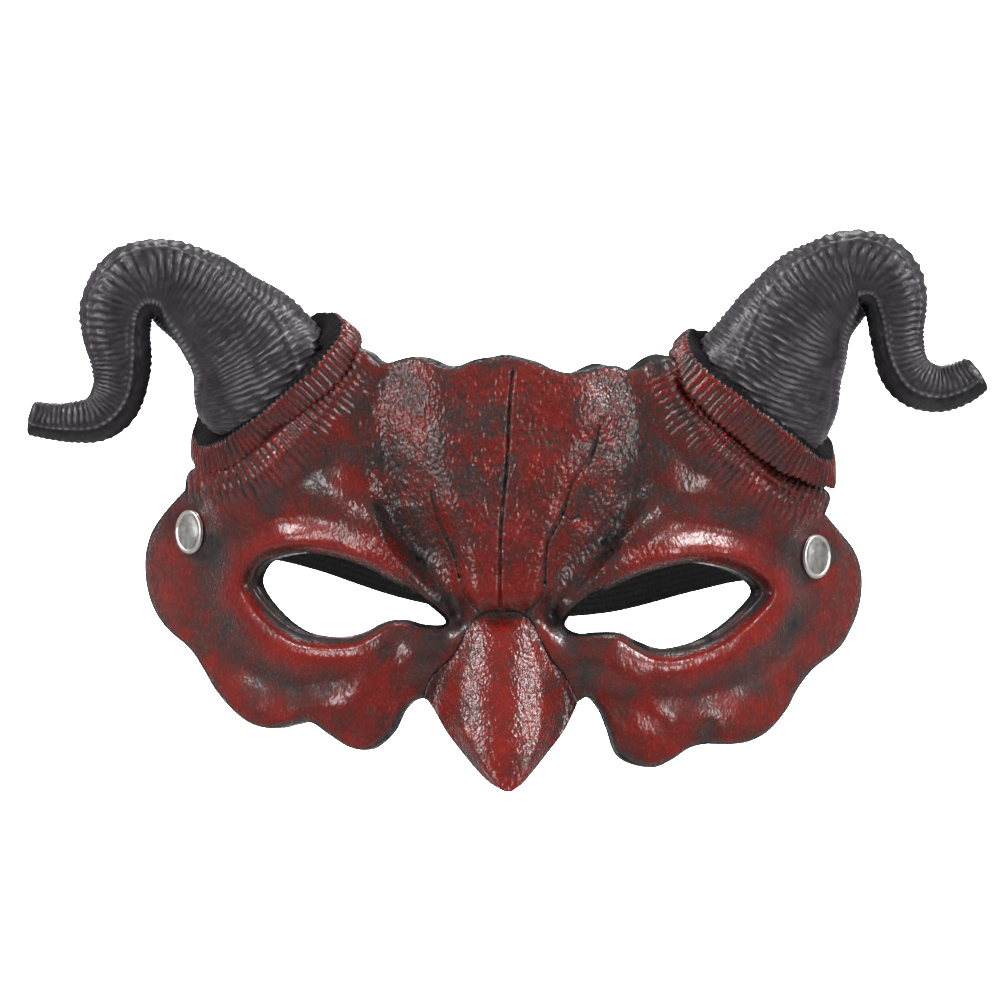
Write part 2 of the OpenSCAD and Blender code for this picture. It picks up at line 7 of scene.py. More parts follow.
import bmesh
import bpy
import numpy as np
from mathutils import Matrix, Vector


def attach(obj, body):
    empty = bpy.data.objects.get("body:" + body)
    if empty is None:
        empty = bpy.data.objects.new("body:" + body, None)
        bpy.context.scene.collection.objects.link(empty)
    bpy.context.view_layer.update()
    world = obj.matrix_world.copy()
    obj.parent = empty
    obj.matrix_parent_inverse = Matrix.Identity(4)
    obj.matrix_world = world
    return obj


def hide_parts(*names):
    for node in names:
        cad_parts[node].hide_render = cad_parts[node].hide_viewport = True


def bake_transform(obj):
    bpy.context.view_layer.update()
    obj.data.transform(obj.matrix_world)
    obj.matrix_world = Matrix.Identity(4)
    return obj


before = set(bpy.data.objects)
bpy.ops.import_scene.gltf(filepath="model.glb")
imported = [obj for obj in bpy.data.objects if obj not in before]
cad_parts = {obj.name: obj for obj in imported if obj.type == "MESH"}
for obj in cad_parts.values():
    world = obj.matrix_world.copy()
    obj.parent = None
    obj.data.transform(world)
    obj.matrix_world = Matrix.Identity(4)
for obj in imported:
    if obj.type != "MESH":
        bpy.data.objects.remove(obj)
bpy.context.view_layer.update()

MM = 0.001
SHELL_T = 4.5
WRAP_DEPTH = 57
WRAP_POWER = 2.6
WRAP_HALF = 90
# The height above which the wall leans back, and how fast; then the same below the eyes.
CROWN_LEAN = (15, 0.0024)
CHEEK_LEAN = (20, 0.003)
FOREHEAD_H = 5
BROW_H = 5
# How much of the forehead and the brow the back of the wall follows.
BULK_SHARE = 0.7
# The beak's ridge, and the depth from it back to the free edges and to the tip's.
BEAK_REACH = 29
EDGE_DEPTH = 6
TIP_DEPTH = 2.5
TIP_DROOP = 0.12
DROOP_SPAN = (0.8, 1.15)
RIDGE_TOP = -3
RIDGE_DROP = 40
HORN_FLAT = 0.8
# Where along its path the visible horn starts.
ROOT_AT = 1.2

# ---- outlines of the face, [x, z] in the front view ----

SEAM = {
    -1: [(0, -2.5), (-3.5, -2.8), (-6.6, -3.8), (-9.4, -7.3), (-10.8, -10.2), (-13.2, -14.2),
         (-18.2, -19), (-20.4, -24.4)],
    1: [(0, -2.5), (2.5, -2.8), (5, -3.8), (7.4, -6.6), (9.5, -11.1), (11.6, -15),
        (15, -19), (18.2, -25.4)],
}
CHEEK = {
    -1: [(-20.4, -24.4), (-23, -25.2), (-25.5, -27.6), (-28.5, -33), (-33.8, -37.2),
         (-38.8, -36.8), (-43.8, -33.8), (-48.8, -30.6), (-53.8, -31.2), (-58.8, -32.2),
         (-63.8, -31), (-68.5, -27.5), (-72.8, -22.5), (-75.8, -17.5), (-79.2, -12.5),
         (-85, -7.5), (-88.5, -2.5), (-90.2, 2.5), (-90.8, 7.5), (-90.5, 12.5),
         (-88.8, 17.5), (-85.2, 22.5), (-80.5, 27.5)],
    1: [(18.2, -25.4), (21, -24.2), (24, -27.5), (26, -32), (29, -39), (36.2, -41.8),
        (41.2, -40.2), (46.2, -37), (51.2, -36), (56.2, -36.2), (61.2, -35.5), (66.2, -32.8),
        (70.8, -27.5), (73.5, -22.5), (77.5, -17.5), (84, -12.5), (87.2, -7.5), (89.2, -2.5),
        (90, 2.5), (89.8, 7.5), (88, 12.5), (84, 17.5), (80.5, 21.5)],
}
CROWN = {
    -1: [(-80.5, 27.5), (-79.5, 32), (-75, 34.2), (-68, 35.6), (-61.5, 39.4), (-55, 44.8),
         (-49.2, 50.4), (-44, 57.4), (-38.6, 63.2), (-34.5, 62), (-30.5, 59.2), (-22.5, 60.8),
         (-13.8, 58.2), (-7, 60.2), (0, 61.2)],
    1: [(80.5, 21.5), (81.8, 26), (78.5, 29), (71.5, 32), (63.6, 37.3), (56.2, 44.2),
        (50.4, 51), (45.8, 58.4), (41, 61), (36.5, 60), (31.2, 57.5), (26.8, 58.6),
        (15.8, 56.8), (7, 59.6), (0, 61.2)],
}
EYE = {
    -1: [(-14.4, -5.4), (-20, 0), (-26, 4), (-34.8, 9), (-42.4, 11.2), (-49, 11.8),
         (-57, 10), (-60.2, 6), (-59.5, 2), (-55, -3.5), (-49.5, -7.6), (-43.5, -9),
         (-38.8, -9), (-34, -8), (-28.5, -5.2), (-24, -4.8), (-19.5, -6)],
    1: [(14.6, -5.8), (19.4, -0.3), (24.8, 2.7), (33, 6.6), (42.4, 9.1), (49, 9.1),
        (57, 6.6), (61.4, 2.4), (58.5, -2), (53.5, -6.5), (47.5, -10), (41.2, -11.8),
        (36.2, -11.8), (31.5, -10), (27.5, -8), (22, -7.9), (18, -8.2)],
}
EYE_CENTRE = {-1: (-38, 1), 1: (38, -1.5)}
RIVET = {-1: (-78.8, 17), 1: (77.8, 10.8)}
ROLL = {
    -1: [(-81, 27), (-72, 28), (-63.5, 31.5), (-56.5, 36.8), (-50.5, 42.6), (-44.5, 49.5),
         (-39, 56.5), (-36, 61)],
    1: [(81, 22), (73.4, 24.6), (66, 28.6), (58.6, 34), (50.8, 41.6), (44.6, 49.6), (40, 57)],
}
BEAK_EDGE = {
    -1: [(-20.4, -24.4), (-18.6, -26), (-14.8, -32.5), (-11, -37.5), (-6.8, -42.5),
         (-3.4, -45.6), (0, -47.4)],
    1: [(18.2, -25.4), (17.4, -27.4), (14.8, -32.5), (11, -37.5), (7, -42.5),
        (4.2, -45.6), (1.6, -47.4)],
}
# Half width of the swollen part of the beak, by height: (z, half width).
BEAK_SWELL = [(-48, 1), (-45.6, 4), (-42.5, 7.4), (-37.5, 11.8), (-32.5, 15), (-27, 16.8),
              (-22, 16.6), (-16, 14.2), (-10, 11), (-5, 8.4), (-2, 7)]
HORN = {
    -1: [(-54.6, 26, 41.5, 34), (-57, 23, 47, 40.5), (-58.8, 20.5, 52.8, 41.6),
         (-64.2, 17.5, 63.4, 33.6), (-71.2, 14.5, 70.8, 27.2), (-78.5, 12, 76.5, 23.6),
         (-85.6, 10, 80.2, 20.4), (-92.6, 9, 78.9, 19.8), (-96.6, 9, 73.6, 19),
         (-97, 9.5, 67, 17.4), (-96, 10.5, 60, 15.5), (-96, 11.5, 53.6, 13.6),
         (-98, 12.5, 48.6, 12.8), (-102.2, 13, 45.2, 11.6), (-108, 13.5, 44.4, 10.4),
         (-113.8, 14, 44.6, 9.4), (-119.4, 14, 45.6, 8.8)],
    1: [(57.8, 26, 38.5, 35), (60.8, 23, 44.5, 41.5), (63.6, 20.5, 51, 42.8),
        (69.2, 17.5, 62.6, 34.6), (74.8, 15, 72.2, 28.8), (81.4, 13, 78.8, 24.4),
        (88, 12, 82.2, 20.6), (94, 11, 80.8, 19), (97, 11, 76.6, 17), (97.8, 11.5, 71, 14.8),
        (98, 12, 65, 13.2), (99.2, 12.5, 59.2, 12.8), (102.4, 13, 54.8, 12.8),
        (108.2, 13.5, 52.8, 12.2), (114.2, 13.5, 54.2, 11), (118.9, 13.5, 57.2, 9.4)],
}
# Collars: centre of the ring, then its half axes along the brow and towards the viewer.
COLLAR = {
    -1: ((-58.1, 20, 52), (17.9, -10.5, 13.9), (2.2, -14.2, -4.8)),
    1: ((62.9, 20, 47.9), (-17.7, -10.5, 13.4), (0, -14.2, -5.2)),
}
COLLAR_HALF = {-1: 3.9, 1: 5}
COLLAR_NARROW = {-1: 0.05, 1: 0.26}
STRAP_W = 15
STRAP_T = 1.2
STRAP_COVER = 0.1
STRAP_X = [72, 75, 78.8, 82, 85]
LOOP = [
    (-82.6, 78, 17), (-79, 91, 17), (-71.5, 103, 17.2), (-60, 112.5, 17.4), (-46, 119, 14.2),
    (-24, 123.6, 7), (0, 125, 2.8), (24, 123.6, 3.4), (46, 119, 8.8), (60, 112.5, 11.8),
    (71.5, 103, 11.4), (79, 91, 10.8), (82.6, 78, 10.8),
]

# Modelling strokes: (line, half width, height, dark wash). Negative heights are valleys.
STROKES = {
    -1: [
        ([(-12, -3), (-16, 2), (-21, 9), (-26.5, 18), (-29.5, 28), (-31, 40), (-31.5, 54)], 3.6, -3, 0.16),
        ([(-18, 8), (-24, 18), (-27, 30), (-28, 46)], 7, -1, 0.08),
        ([(-69, 18), (-62, 22.4), (-55, 25.4), (-48, 26.6), (-41, 25.6), (-34, 21)], 5, 2, -0.03),
        ([(-33, 20), (-28, 12), (-22, 5.8), (-17.5, 0.5)], 3.8, 2.6, 0.1),
        ([(-66, 17), (-58, 19.6), (-48, 20.4), (-38, 17.5)], 3.6, -1, -0.05),
        ([(-72, 14), (-74, 4), (-70.5, -6.6), (-63, -16.5), (-55.4, -21), (-46, -21.5),
          (-39, -19), (-31, -14.5), (-24, -11)], 4.4, -1.3, 0.26),
        ([(-48, -25.5), (-40, -23), (-33, -19.8), (-26, -16.8), (-21, -14)], 4.2, 1.8, -0.05),
        ([(-37, -31), (-31, -27)], 8, 0.5, -0.15),
        ([(-66, -25), (-58, -27)], 7, 0.4, -0.15),
        ([(-84, 0), (-85, 8)], 8, 0.9, -0.05),
        ([(-81.5, 22), (-84.2, 18), (-84, 13.4), (-80.6, 10)], 1.5, 1.2, -0.1),
        ([(-49, -29), (-50, -22)], 3.6, -1, 0.15),
        ([(-17, -9), (-26, -9.6), (-34, -13.6)], 5, 0, 0.14),
        ([(-18.5, -9.5), (-20, -15), (-21, -21)], 3, -0.7, 0.2),
        ([(-15, -8), (-12, -5), (-10, -1)], 2.2, -1.6, 0.26),
        ([(-18.3, 27), (-16.4, 19.6), (-13, 12.1), (-11.2, 5.7)], 0.32, -0.9, 0.34),
    ],
    1: [
        ([(12, -3), (15.5, 1.6), (21, 8), (26.5, 15.5), (31, 24), (33.5, 34), (33, 48)], 3.6, -3, 0.16),
        ([(18, 7), (25, 16), (30, 28), (31, 44)], 7, -1, 0.08),
        ([(71, 14), (63, 20.4), (54, 24.4), (46, 26.2), (39, 24.4), (33.5, 19)], 5, 2, -0.03),
        ([(33, 18.6), (27, 11.6), (21.5, 6), (17, 0.6)], 3.8, 2.6, 0.1),
        ([(66, 13.6), (58, 17), (48, 18.6), (38, 16)], 3.6, -1, -0.05),
        ([(72.5, 10), (74, 2), (72, -6), (63.4, -17), (56, -21), (47, -22), (37, -20),
          (28.3, -14.4), (23, -12)], 4.4, -1.3, 0.26),
        ([(42, -28.5), (37, -25.4), (31, -20.6), (26, -17), (20, -14)], 4.2, 1.8, -0.05),
        ([(37, -35), (31, -31)], 8, 0.5, -0.15),
        ([(64, -27), (57, -30)], 7, 0.4, -0.15),
        ([(84, -4), (84.6, 3)], 8, 0.9, -0.05),
        ([(81, 16), (83.6, 12), (83, 7), (79.6, 4)], 1.5, 1.2, -0.1),
        ([(51, -34), (51, -27)], 3.6, -1, 0.15),
        ([(17, -12), (26, -12.4), (34, -16.4)], 5, 0, 0.14),
        ([(17, -11), (19, -16), (20, -22)], 3, -0.7, 0.2),
        ([(15, -8), (12, -5), (10, -1)], 2.2, -1.6, 0.26),
        ([(23.4, 43.3), (21.2, 35.4), (16.7, 29.5), (14.2, 21.5), (10.8, 15.1), (10, 10.7),
          (9.8, 4.3)], 0.32, -0.9, 0.34),
        ([(14.2, 21.5), (16.5, 20), (18.5, 20.8)], 0.3, -0.5, 0.35),
    ],
}
BRIDGE_STROKES = [
    ([(1.9, 57), (1.1, 47.7), (0.4, 33), (-0.9, 20.5), (-1.3, 8.2), (-1.2, -1.7)], 0.46, -0.8, 0.22),
    ([(-10.5, 5), (-7, 1.4), (-1, 0.4), (5.3, 1), (9.3, 3.6)], 4, 0.5, -0.1),
    ([(-11.3, 6), (-10.6, 2), (-8.6, -0.8), (-6.6, -3)], 0.35, -0.4, 0.25),
    ([(9.8, 4.3), (9.6, 1.5), (7.6, -1.2), (5.2, -3)], 0.35, -0.4, 0.25),
]


# ---- curves and fields ----

def smooth(points, n=8, closed=False):
    """The smooth curve through points, with n steps between each two."""
    p = np.array(points, float)
    k = len(p)
    spans = k if closed else k - 1
    out = []
    for i in range(spans):
        if closed:
            a, b, c, d = p[(i - 1) % k], p[i], p[(i + 1) % k], p[(i + 2) % k]
        else:
            a, b, c, d = p[max(i - 1, 0)], p[i], p[i + 1], p[min(i + 2, k - 1)]
        t = (np.arange(n) / n)[:, None]
        out.append(0.5 * (2 * b + (c - a) * t + (2 * a - 5 * b + 4 * c - d) * t ** 2
                          + (3 * b - a - 3 * c + d) * t ** 3))
    if not closed:
        out.append(p[-1:])
    return np.concatenate(out)


def run_of(p):
    """Running length at each point of a line."""
    return np.concatenate([[0], np.cumsum(np.linalg.norm(np.diff(p[:, :3], axis=0), axis=1))])


def at_shares(line, shares):
    """The points of a line at the given shares of its length."""
    s = run_of(line)
    return np.stack([np.interp(shares * s[-1], s, line[:, i]) for i in range(line.shape[1])], 1)


def even(p, spacing):
    """The line p cut into equal steps of about spacing."""
    count = max(2, int(round(run_of(p)[-1] / spacing)) + 1)
    return at_shares(p, np.linspace(0, 1, count))


def closed_line(ring):
    return np.concatenate([ring, ring[:1]])


def near(q, line):
    """Distance from each q to the line, and the running length of its nearest point."""
    best = np.full(len(q), 1e9)
    where = np.zeros(len(q))
    s = run_of(line)
    for i in range(len(line) - 1):
        a, d = line[i], line[i + 1] - line[i]
        length2 = max(float(d @ d), 1e-12)
        t = np.clip(((q - a) @ d) / length2, 0, 1)
        gap = np.linalg.norm(q - a - t[:, None] * d, axis=1)
        closer = gap < best
        best = np.where(closer, gap, best)
        where = np.where(closer, s[i] + t * math.sqrt(length2), where)
    return best, where


def step_up(a, b, v):
    """0 at a and 1 at b, with a smooth step between them; a may be the larger."""
    t = np.clip((v - a) / (b - a), 0, 1)
    return t * t * (3 - 2 * t)


def hill(d, w):
    return np.exp(-(d / w) ** 2)


def waves(p, scale, seed, count=26):
    """A smooth random field with bumps about scale wide and a spread of about 1."""
    rng = np.random.default_rng(seed)
    k = rng.normal(size=(count, p.shape[1]))
    k *= (2 * math.pi / scale) * rng.uniform(0.6, 1.4, (count, 1)) / np.linalg.norm(k, axis=1)[:, None]
    phase = rng.uniform(0, 2 * math.pi, count)
    total = np.zeros(len(p))
    for i in range(count):
        total += np.sin(p @ k[i] + phase[i])
    return total / math.sqrt(count / 2)


def pitting(q, squash, seed, fine_seed):
    """Small pits, drawn out along z by squash."""
    return 0.6 * waves(q, 2.6, seed) + waves(q * (1, squash), 1.5, fine_seed)


def pleats(along, p, pitch, seed):
    """Uneven folds across a roll: 0 in a fold's bottom and 1 on its crest."""
    phase = 2 * math.pi * along / pitch + 0.9 * waves(along[:, None], 7 * pitch, seed)
    phase += 0.25 * waves(p, 3 * pitch, seed + 1)
    return np.abs(np.cos(phase / 2)) ** 0.7


# ---- the surface of the face ----

def wrap(x):
    return WRAP_DEPTH * (np.abs(x) / WRAP_HALF) ** WRAP_POWER


def lean(z):
    above = np.maximum(0, z - CROWN_LEAN[0])
    below = np.maximum(0, -CHEEK_LEAN[0] - z)
    return CROWN_LEAN[1] * above ** 2 + CHEEK_LEAN[1] * below ** 2


def face_y(q):
    """Depth of the plain wall's front, without its relief."""
    return wrap(q[:, 0]) + lean(q[:, 1]) - SHELL_T


def inward(x):
    """Out of the back of the wall, in plan: [x, y]."""
    share = np.abs(x) / WRAP_HALF
    slope = np.sign(x) * WRAP_DEPTH * WRAP_POWER / WRAP_HALF * share ** (WRAP_POWER - 1)
    n = np.stack([-slope, np.ones_like(slope)], 1)
    return n / np.linalg.norm(n, axis=1)[:, None]


def hill2(q, c, rx, rz):
    return np.exp(-((q[:, 0] - c[0]) / rx) ** 2 - ((q[:, 1] - c[1]) / rz) ** 2)


def forehead(q):
    width = 11 + 19 * step_up(-2, 55, q[:, 1])
    return FOREHEAD_H * (1 - step_up(0.55, 1.2, np.abs(q[:, 0]) / width)) * step_up(-7, 3, q[:, 1])


def brow(q, side):
    return BROW_H * hill2(q, (58 * side, 38), 24, 14)


def grit_of(q):
    """How coarse the skin of the paint is: pitted on the forehead and smooth on the cheeks."""
    return 0.25 + 0.75 * step_up(-2, 12, q[:, 1]) * (1 - step_up(28, 44, np.abs(q[:, 0])))


def rubbed_paint_and_highlight_of(q, side):
    """Pale specks: rubbed paint with painted highlight high on the forehead, and painted highlight in the
    inner folds above the eyes and along the crest of the brow roll.
    """
    along_fold = near(q, smooth([(20 * side, 3), (25 * side, 9), (30 * side, 15)], 6))[0]
    high = (0.8 + 0.2 * side) * hill2(q, (27 * side, 46), 10, 12)
    high += 0.4 * hill2(q, (20 * side, 26), 11, 12)
    crest = near(q, smooth(ROLL[side], 8))[0]
    return high + 0.7 * hill(along_fold, 3) + 0.8 * hill(crest, 3.4) * step_up(34, 40, np.abs(q[:, 0]))


def eye_rim(x, z, d):
    """The rim round an eye, d from its edge: the cut inside it and the valley outside it."""
    outer = step_up(16, 36, np.abs(x))
    upper = step_up(-6, 7, z - np.interp(np.abs(x), [14, 60], [-5, 4]))
    crest = 5.4 - 2.2 * upper * outer - 0.8 * upper * (1 - outer)
    crest_h = 1.2 + (1.8 + 0.05 * upper) * outer
    corner = np.maximum(step_up(46, 58, np.abs(x)), (1 - upper) * step_up(28, 40, np.abs(x)))
    bevel = 1.3 + 1.3 * corner
    height = crest_h * hill(d - crest, np.where(d > crest, 6.4 - 1.8 * upper, 4.6))
    height -= (1.2 + (1.4 - 0.4 * upper) * outer) * (1 - step_up(0, bevel + 1, d))
    height -= 1.1 * outer * (1 - upper) * hill(d - 13, 4.4)
    bright = 0.06 + 0.32 * step_up(22, 38, np.abs(x))
    wash = 0.44 + 0.42 * (1 - step_up(0.5, 1, d / bevel)) - bright * hill(d - crest, 4.2)
    return height, wash


def stroke_relief(q, side):
    """The strokes of the modelling. A wide valley fades out along its length."""
    height = np.zeros(len(q))
    wash = np.zeros(len(q))
    for line, width, rise, dark in STROKES[side] + BRIDGE_STROKES:
        line = smooth(line, 6)
        gap, along = near(q, line)
        is_valley = width > 3.5 and rise < 0
        fade = 1 - 0.85 * step_up(0.35, 1, along / run_of(line)[-1]) if is_valley else 1
        height += rise * fade * hill(gap, width)
        wash += dark * fade * hill(gap, 1.15 * width)
    return height, wash


def brow_roll(q, side, edge):
    """The pleated roll of the brow and the pleated lip along the crown; edge is the way to the rim."""
    x, z = q[:, 0], q[:, 1]
    gap, along = near(q, smooth(ROLL[side], 8))
    fold = pleats(along, q, 1.75, 11 + side)
    ragged = 1.0 + 0.2 * waves(q, 6, 21 + side)
    lip = step_up(7, 3.5, edge) * step_up(36, 42, np.abs(x)) * step_up(16, 24, z)
    grip = np.maximum(step_up(7, 3, gap * ragged) * step_up(35, 39, np.abs(x)), lip)
    height = 5.6 * np.maximum(hill(gap, 5.8), lip) + grip * 0.75 * (fold - 0.6)
    height -= 1.2 * lip * (1 - np.clip(edge / 2, 0, 1)) ** 2
    wash = grip * (0.55 * (1 - fold) - 0.14) + 0.12 * hill(gap - 10, 5) + 0.16 * lip * hill(edge, 1.2)
    return height, wash


def worn_skin(q):
    """Grey and red clouds on the forehead, lumps left by hand, and pits."""
    wash = 0.12 * hill2(q, (-10, 34), 18, 20) + 0.14 * hill2(q, (30, 34), 12, 18)
    wash -= 0.16 * hill2(q, (0, 8), 11, 12) + 0.12 * hill2(q, (8, 44), 9, 20)
    wash += 0.07 * waves(q, 12, 3) + 0.04 * waves(q, 5, 4)
    height = 0.25 * waves(q, 18, 5) + 0.06 * waves(q, 7, 6)
    pits = grit_of(q) * pitting(q, 0.75, 7, 8)
    return height + 0.045 * pits, wash - 0.035 * pits


def relief(q, side, eye, rim, seam):
    """Height of the modelling over the plain wrap, and how dark the paint is."""
    x, z = q[:, 0], q[:, 1]
    to_rim, _ = near(q, rim)
    to_seam, _ = near(q, seam)
    height = forehead(q) + brow(q, side)
    wash = np.zeros(len(q))
    for more, darker in (eye_rim(x, z, near(q, eye)[0]), stroke_relief(q, side),
                         brow_roll(q, side, to_rim), worn_skin(q)):
        height += more
        wash += darker
    # a flat seat for the rivet's cap, in a shallow ring
    gap = np.hypot((x - RIVET[side][0]) / 0.75, z - RIVET[side][1])
    height *= step_up(5.4, 11, gap)
    height -= 0.25 * hill(gap - 7.6, 1.5)
    wash += 0.06 * hill(gap - 7, 2.4)
    # edges
    height -= 1.3 * (1 - np.clip(to_rim / 1.8, 0, 1)) ** 2
    wash += 0.45 * hill(to_rim, 0.7)
    height -= 0.25 * (1 - np.clip(to_seam / 0.5, 0, 1)) ** 2
    bridge = step_up(-9, -4, z) * (1 - step_up(9, 12, np.abs(x)))
    wash += 0.2 * hill(to_seam, 0.35) + 0.25 * hill(to_seam, 1.8) * bridge
    return height, wash


# ---- meshes ----

def new_piece(name, verts, faces, floats, body="mask"):
    """A smooth piece in metres from points in millimetres, with painted float layers."""
    mesh = bpy.data.meshes.new(name)
    mesh.from_pydata((np.asarray(verts) * MM).tolist(), [], faces)
    mesh.update()
    for key, values in floats.items():
        layer = mesh.attributes.new(key, "FLOAT", "POINT")
        layer.data.foreach_set("value", np.asarray(values, np.float32))
    mesh.shade_smooth()
    piece = bpy.data.objects.new(name, mesh)
    bpy.context.scene.collection.objects.link(piece)
    if body:
        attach(piece, body)
    return piece


def grid_quads(rows, cols, first=0, close_rows=False, close_cols=False, flip=False):
    """Quads of a grid of points stored row by row."""
    i = np.arange(rows if close_rows else rows - 1)
    j = np.arange(cols if close_cols else cols - 1)
    i, j = np.meshgrid(i, j, indexing="ij")
    i, j = i.ravel(), j.ravel()
    i2, j2 = (i + 1) % rows, (j + 1) % cols
    quads = np.stack([i * cols + j, i * cols + j2, i2 * cols + j2, i2 * cols + j], 1) + first
    return (quads[:, ::-1] if flip else quads).tolist()


def band_quads(a, b, closed=False, flip=False):
    """Quads between two rows of point numbers."""
    count = len(a) if closed else len(a) - 1
    quads = [(a[i], a[(i + 1) % len(a)], b[(i + 1) % len(a)], b[i]) for i in range(count)]
    return [q[::-1] for q in quads] if flip else quads


def plate_faces(rows, cols):
    """Faces of a closed plate: a front grid, a back grid after it, and the edge all round."""
    count = rows * cols
    ring = np.concatenate([np.arange(cols), np.arange(1, rows) * cols + cols - 1,
                           (rows - 1) * cols + np.arange(cols - 2, -1, -1),
                           np.arange(rows - 2, 0, -1) * cols])
    faces = grid_quads(rows, cols) + grid_quads(rows, cols, count, flip=True)
    return faces + band_quads(ring, ring + count, closed=True, flip=True)


def weld(piece, gap=1e-6):
    """Joins the points that lie together, and turns every face outwards."""
    bm = bmesh.new()
    bm.from_mesh(piece.data)
    bmesh.ops.remove_doubles(bm, verts=bm.verts, dist=gap)
    bmesh.ops.recalc_face_normals(bm, faces=bm.faces)
    bm.to_mesh(piece.data)
    bm.free()
    piece.data.shade_smooth()


def reach(c, border, ring):
    """Where the line from c to each border point leaves the eye, as a share of its length."""
    d = border - c
    a = ring - c
    e = np.roll(ring, -1, 0) - ring
    k = d[:, None, 0] * e[None, :, 1] - d[:, None, 1] * e[None, :, 0]
    k = np.where(np.abs(k) < 1e-9, 1e-9, k)
    t = (a[None, :, 0] * e[None, :, 1] - a[None, :, 1] * e[None, :, 0]) / k
    u = (a[None, :, 0] * d[:, None, 1] - a[None, :, 1] * d[:, None, 0]) / k
    good = (u > -1e-6) & (u < 1 + 1e-6) & (t > 0)
    return np.where(good, t, 1e6).min(1)


FRONT_RINGS = 150
BACK_RINGS = 22
LEAST_WALL = 2.2
# The wash that makes the back of the foam black.
BACKING = 1.15


def ring_steps(count):
    t = np.linspace(0, 1, count)
    return 0.6 * t + 0.4 * (0.5 - 0.5 * np.cos(math.pi * t))


def spread(middle, border, ring, count):
    """Points from the ring round an eye out to the border, count of them for each border point."""
    inner = middle + reach(middle, border, ring)[:, None] * (border - middle)
    s = ring_steps(count)[None, :, None]
    return (inner[:, None] + s * (border - inner)[:, None]).reshape(-1, 2)


def half_shell(side):
    """Points, faces and paint of one half: a ring of wall round its eye, front and back."""
    eye = smooth(EYE[side], 7, closed=True)
    front_eye = eye - inward(eye[:, 0]) * (SHELL_T, 0)
    centre = even(np.array([(0, 61.2), (0, -2.5)], float), 0.45)
    seam = even(smooth(SEAM[side]), 0.5)
    cheek = even(smooth(CHEEK[side]), 0.55)
    crown = even(smooth(CROWN[side]), 0.42)
    border = np.concatenate([centre[:-1], seam[:-1], cheek[:-1], crown[:-1]])
    n = len(border)
    rim = np.concatenate([cheek, crown])
    middle = np.array(EYE_CENTRE[side], float)
    front_line = closed_line(front_eye)
    q = spread(middle, border, front_eye, FRONT_RINGS)
    height, wash = relief(q, side, front_line, rim, seam)
    front = np.stack([q[:, 0], face_y(q) - height, q[:, 1]], 1)
    # the back is plainer, and keeps at least LEAST_WALL behind the front
    b = spread(middle, border, eye, BACK_RINGS)
    push = inward(b[:, 0]) * SHELL_T
    share = step_up(0, 8, near(b, closed_line(eye))[0])
    over = b - np.stack([push[:, 0] * (1 - share), np.zeros(len(b))], 1)
    low, _ = relief(over, side, front_line, rim, seam)
    bulk = BULK_SHARE * forehead(b) + BULK_SHARE * brow(b, side)
    y = np.maximum(face_y(b) - bulk + push[:, 1], face_y(over) - low + LEAST_WALL)
    back = np.stack([b[:, 0] + push[:, 0] * share, y, b[:, 1]], 1)
    # the dark backing stands a little above the crown
    crown_from = n - len(crown) + 1
    lift = np.zeros((n, BACK_RINGS))
    lift[crown_from:, -3:] = [0.3, 0.7, 1]
    back[:, 2] += lift.ravel() * (0.3 + 0.4 * waves(b, 14, 31))
    first_back = len(front)
    verts = np.concatenate([front, back])
    faces = grid_quads(n, FRONT_RINGS, close_rows=True)
    faces += grid_quads(n, BACK_RINGS, first_back, close_rows=True, flip=True)
    f_in = np.arange(n) * FRONT_RINGS
    b_in = first_back + np.arange(n) * BACK_RINGS
    faces += band_quads(f_in, b_in, closed=True, flip=True)
    f_out = np.concatenate([f_in[len(centre) - 1:], f_in[:1]]) + FRONT_RINGS - 1
    b_out = np.concatenate([b_in[len(centre) - 1:], b_in[:1]]) + BACK_RINGS - 1
    faces += band_quads(f_out, b_out)
    # the pale layer holds rubbed paint on the forehead and painted highlight specks in the inner folds and
    # on the brow roll
    layers = {"wash": np.concatenate([wash, np.full(len(back), BACKING)]),
              "rubbed_paint_and_highlight": np.concatenate([rubbed_paint_and_highlight_of(q, side), np.zeros(len(back))]),
              "grit": np.concatenate([grit_of(q), np.full(len(back), 0.5)])}
    return verts, faces, layers


def make_shell():
    left, left_faces, left_layers = half_shell(-1)
    right, right_faces, right_layers = half_shell(1)
    moved = (np.array(right_faces) + len(left)).tolist()
    piece = new_piece("painted_shell", np.concatenate([left, right]), left_faces + moved,
                      {key: np.concatenate([left_layers[key], right_layers[key]]) for key in left_layers})
    weld(piece, 1e-5)
    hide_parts("face_shell")
    return piece


# ---- the beak ----

BEAK_ROWS = 130
BEAK_COLS = 96
# How many steps of the seam, from its middle, form the beak's top edge.
TOP_STEPS = 16
# The beak's section is a parabola: depth behind the ridge per square millimetre across.
BEAK_BEND = 0.047
# Half the window that rounds the depth of the beak's edge along its length.
EDGE_WINDOW = 16


def ridge_y(z):
    t = np.maximum(0, (RIDGE_TOP - z) / RIDGE_DROP)
    return -EDGE_DEPTH - (BEAK_REACH - EDGE_DEPTH) * t * (1 - TIP_DROOP * step_up(*DROOP_SPAN, t))


def seam_height(p, side):
    """Depth of the face at p, where the beak meets it."""
    eye = smooth(EYE[side], 7, closed=True)
    far = np.array([(200.0, 200.0), (201.0, 200.0)])
    height, _ = relief(p, side, closed_line(eye), far, far)
    return face_y(p) - height


def beak_side(side):
    """One side of the beak, [x, z]: down the seam from the top edge, then the free edge."""
    line = np.concatenate([smooth(SEAM[side], 8)[TOP_STEPS:-1], smooth(BEAK_EDGE[side], 8)])
    return at_shares(line, np.linspace(0, 1, BEAK_ROWS))


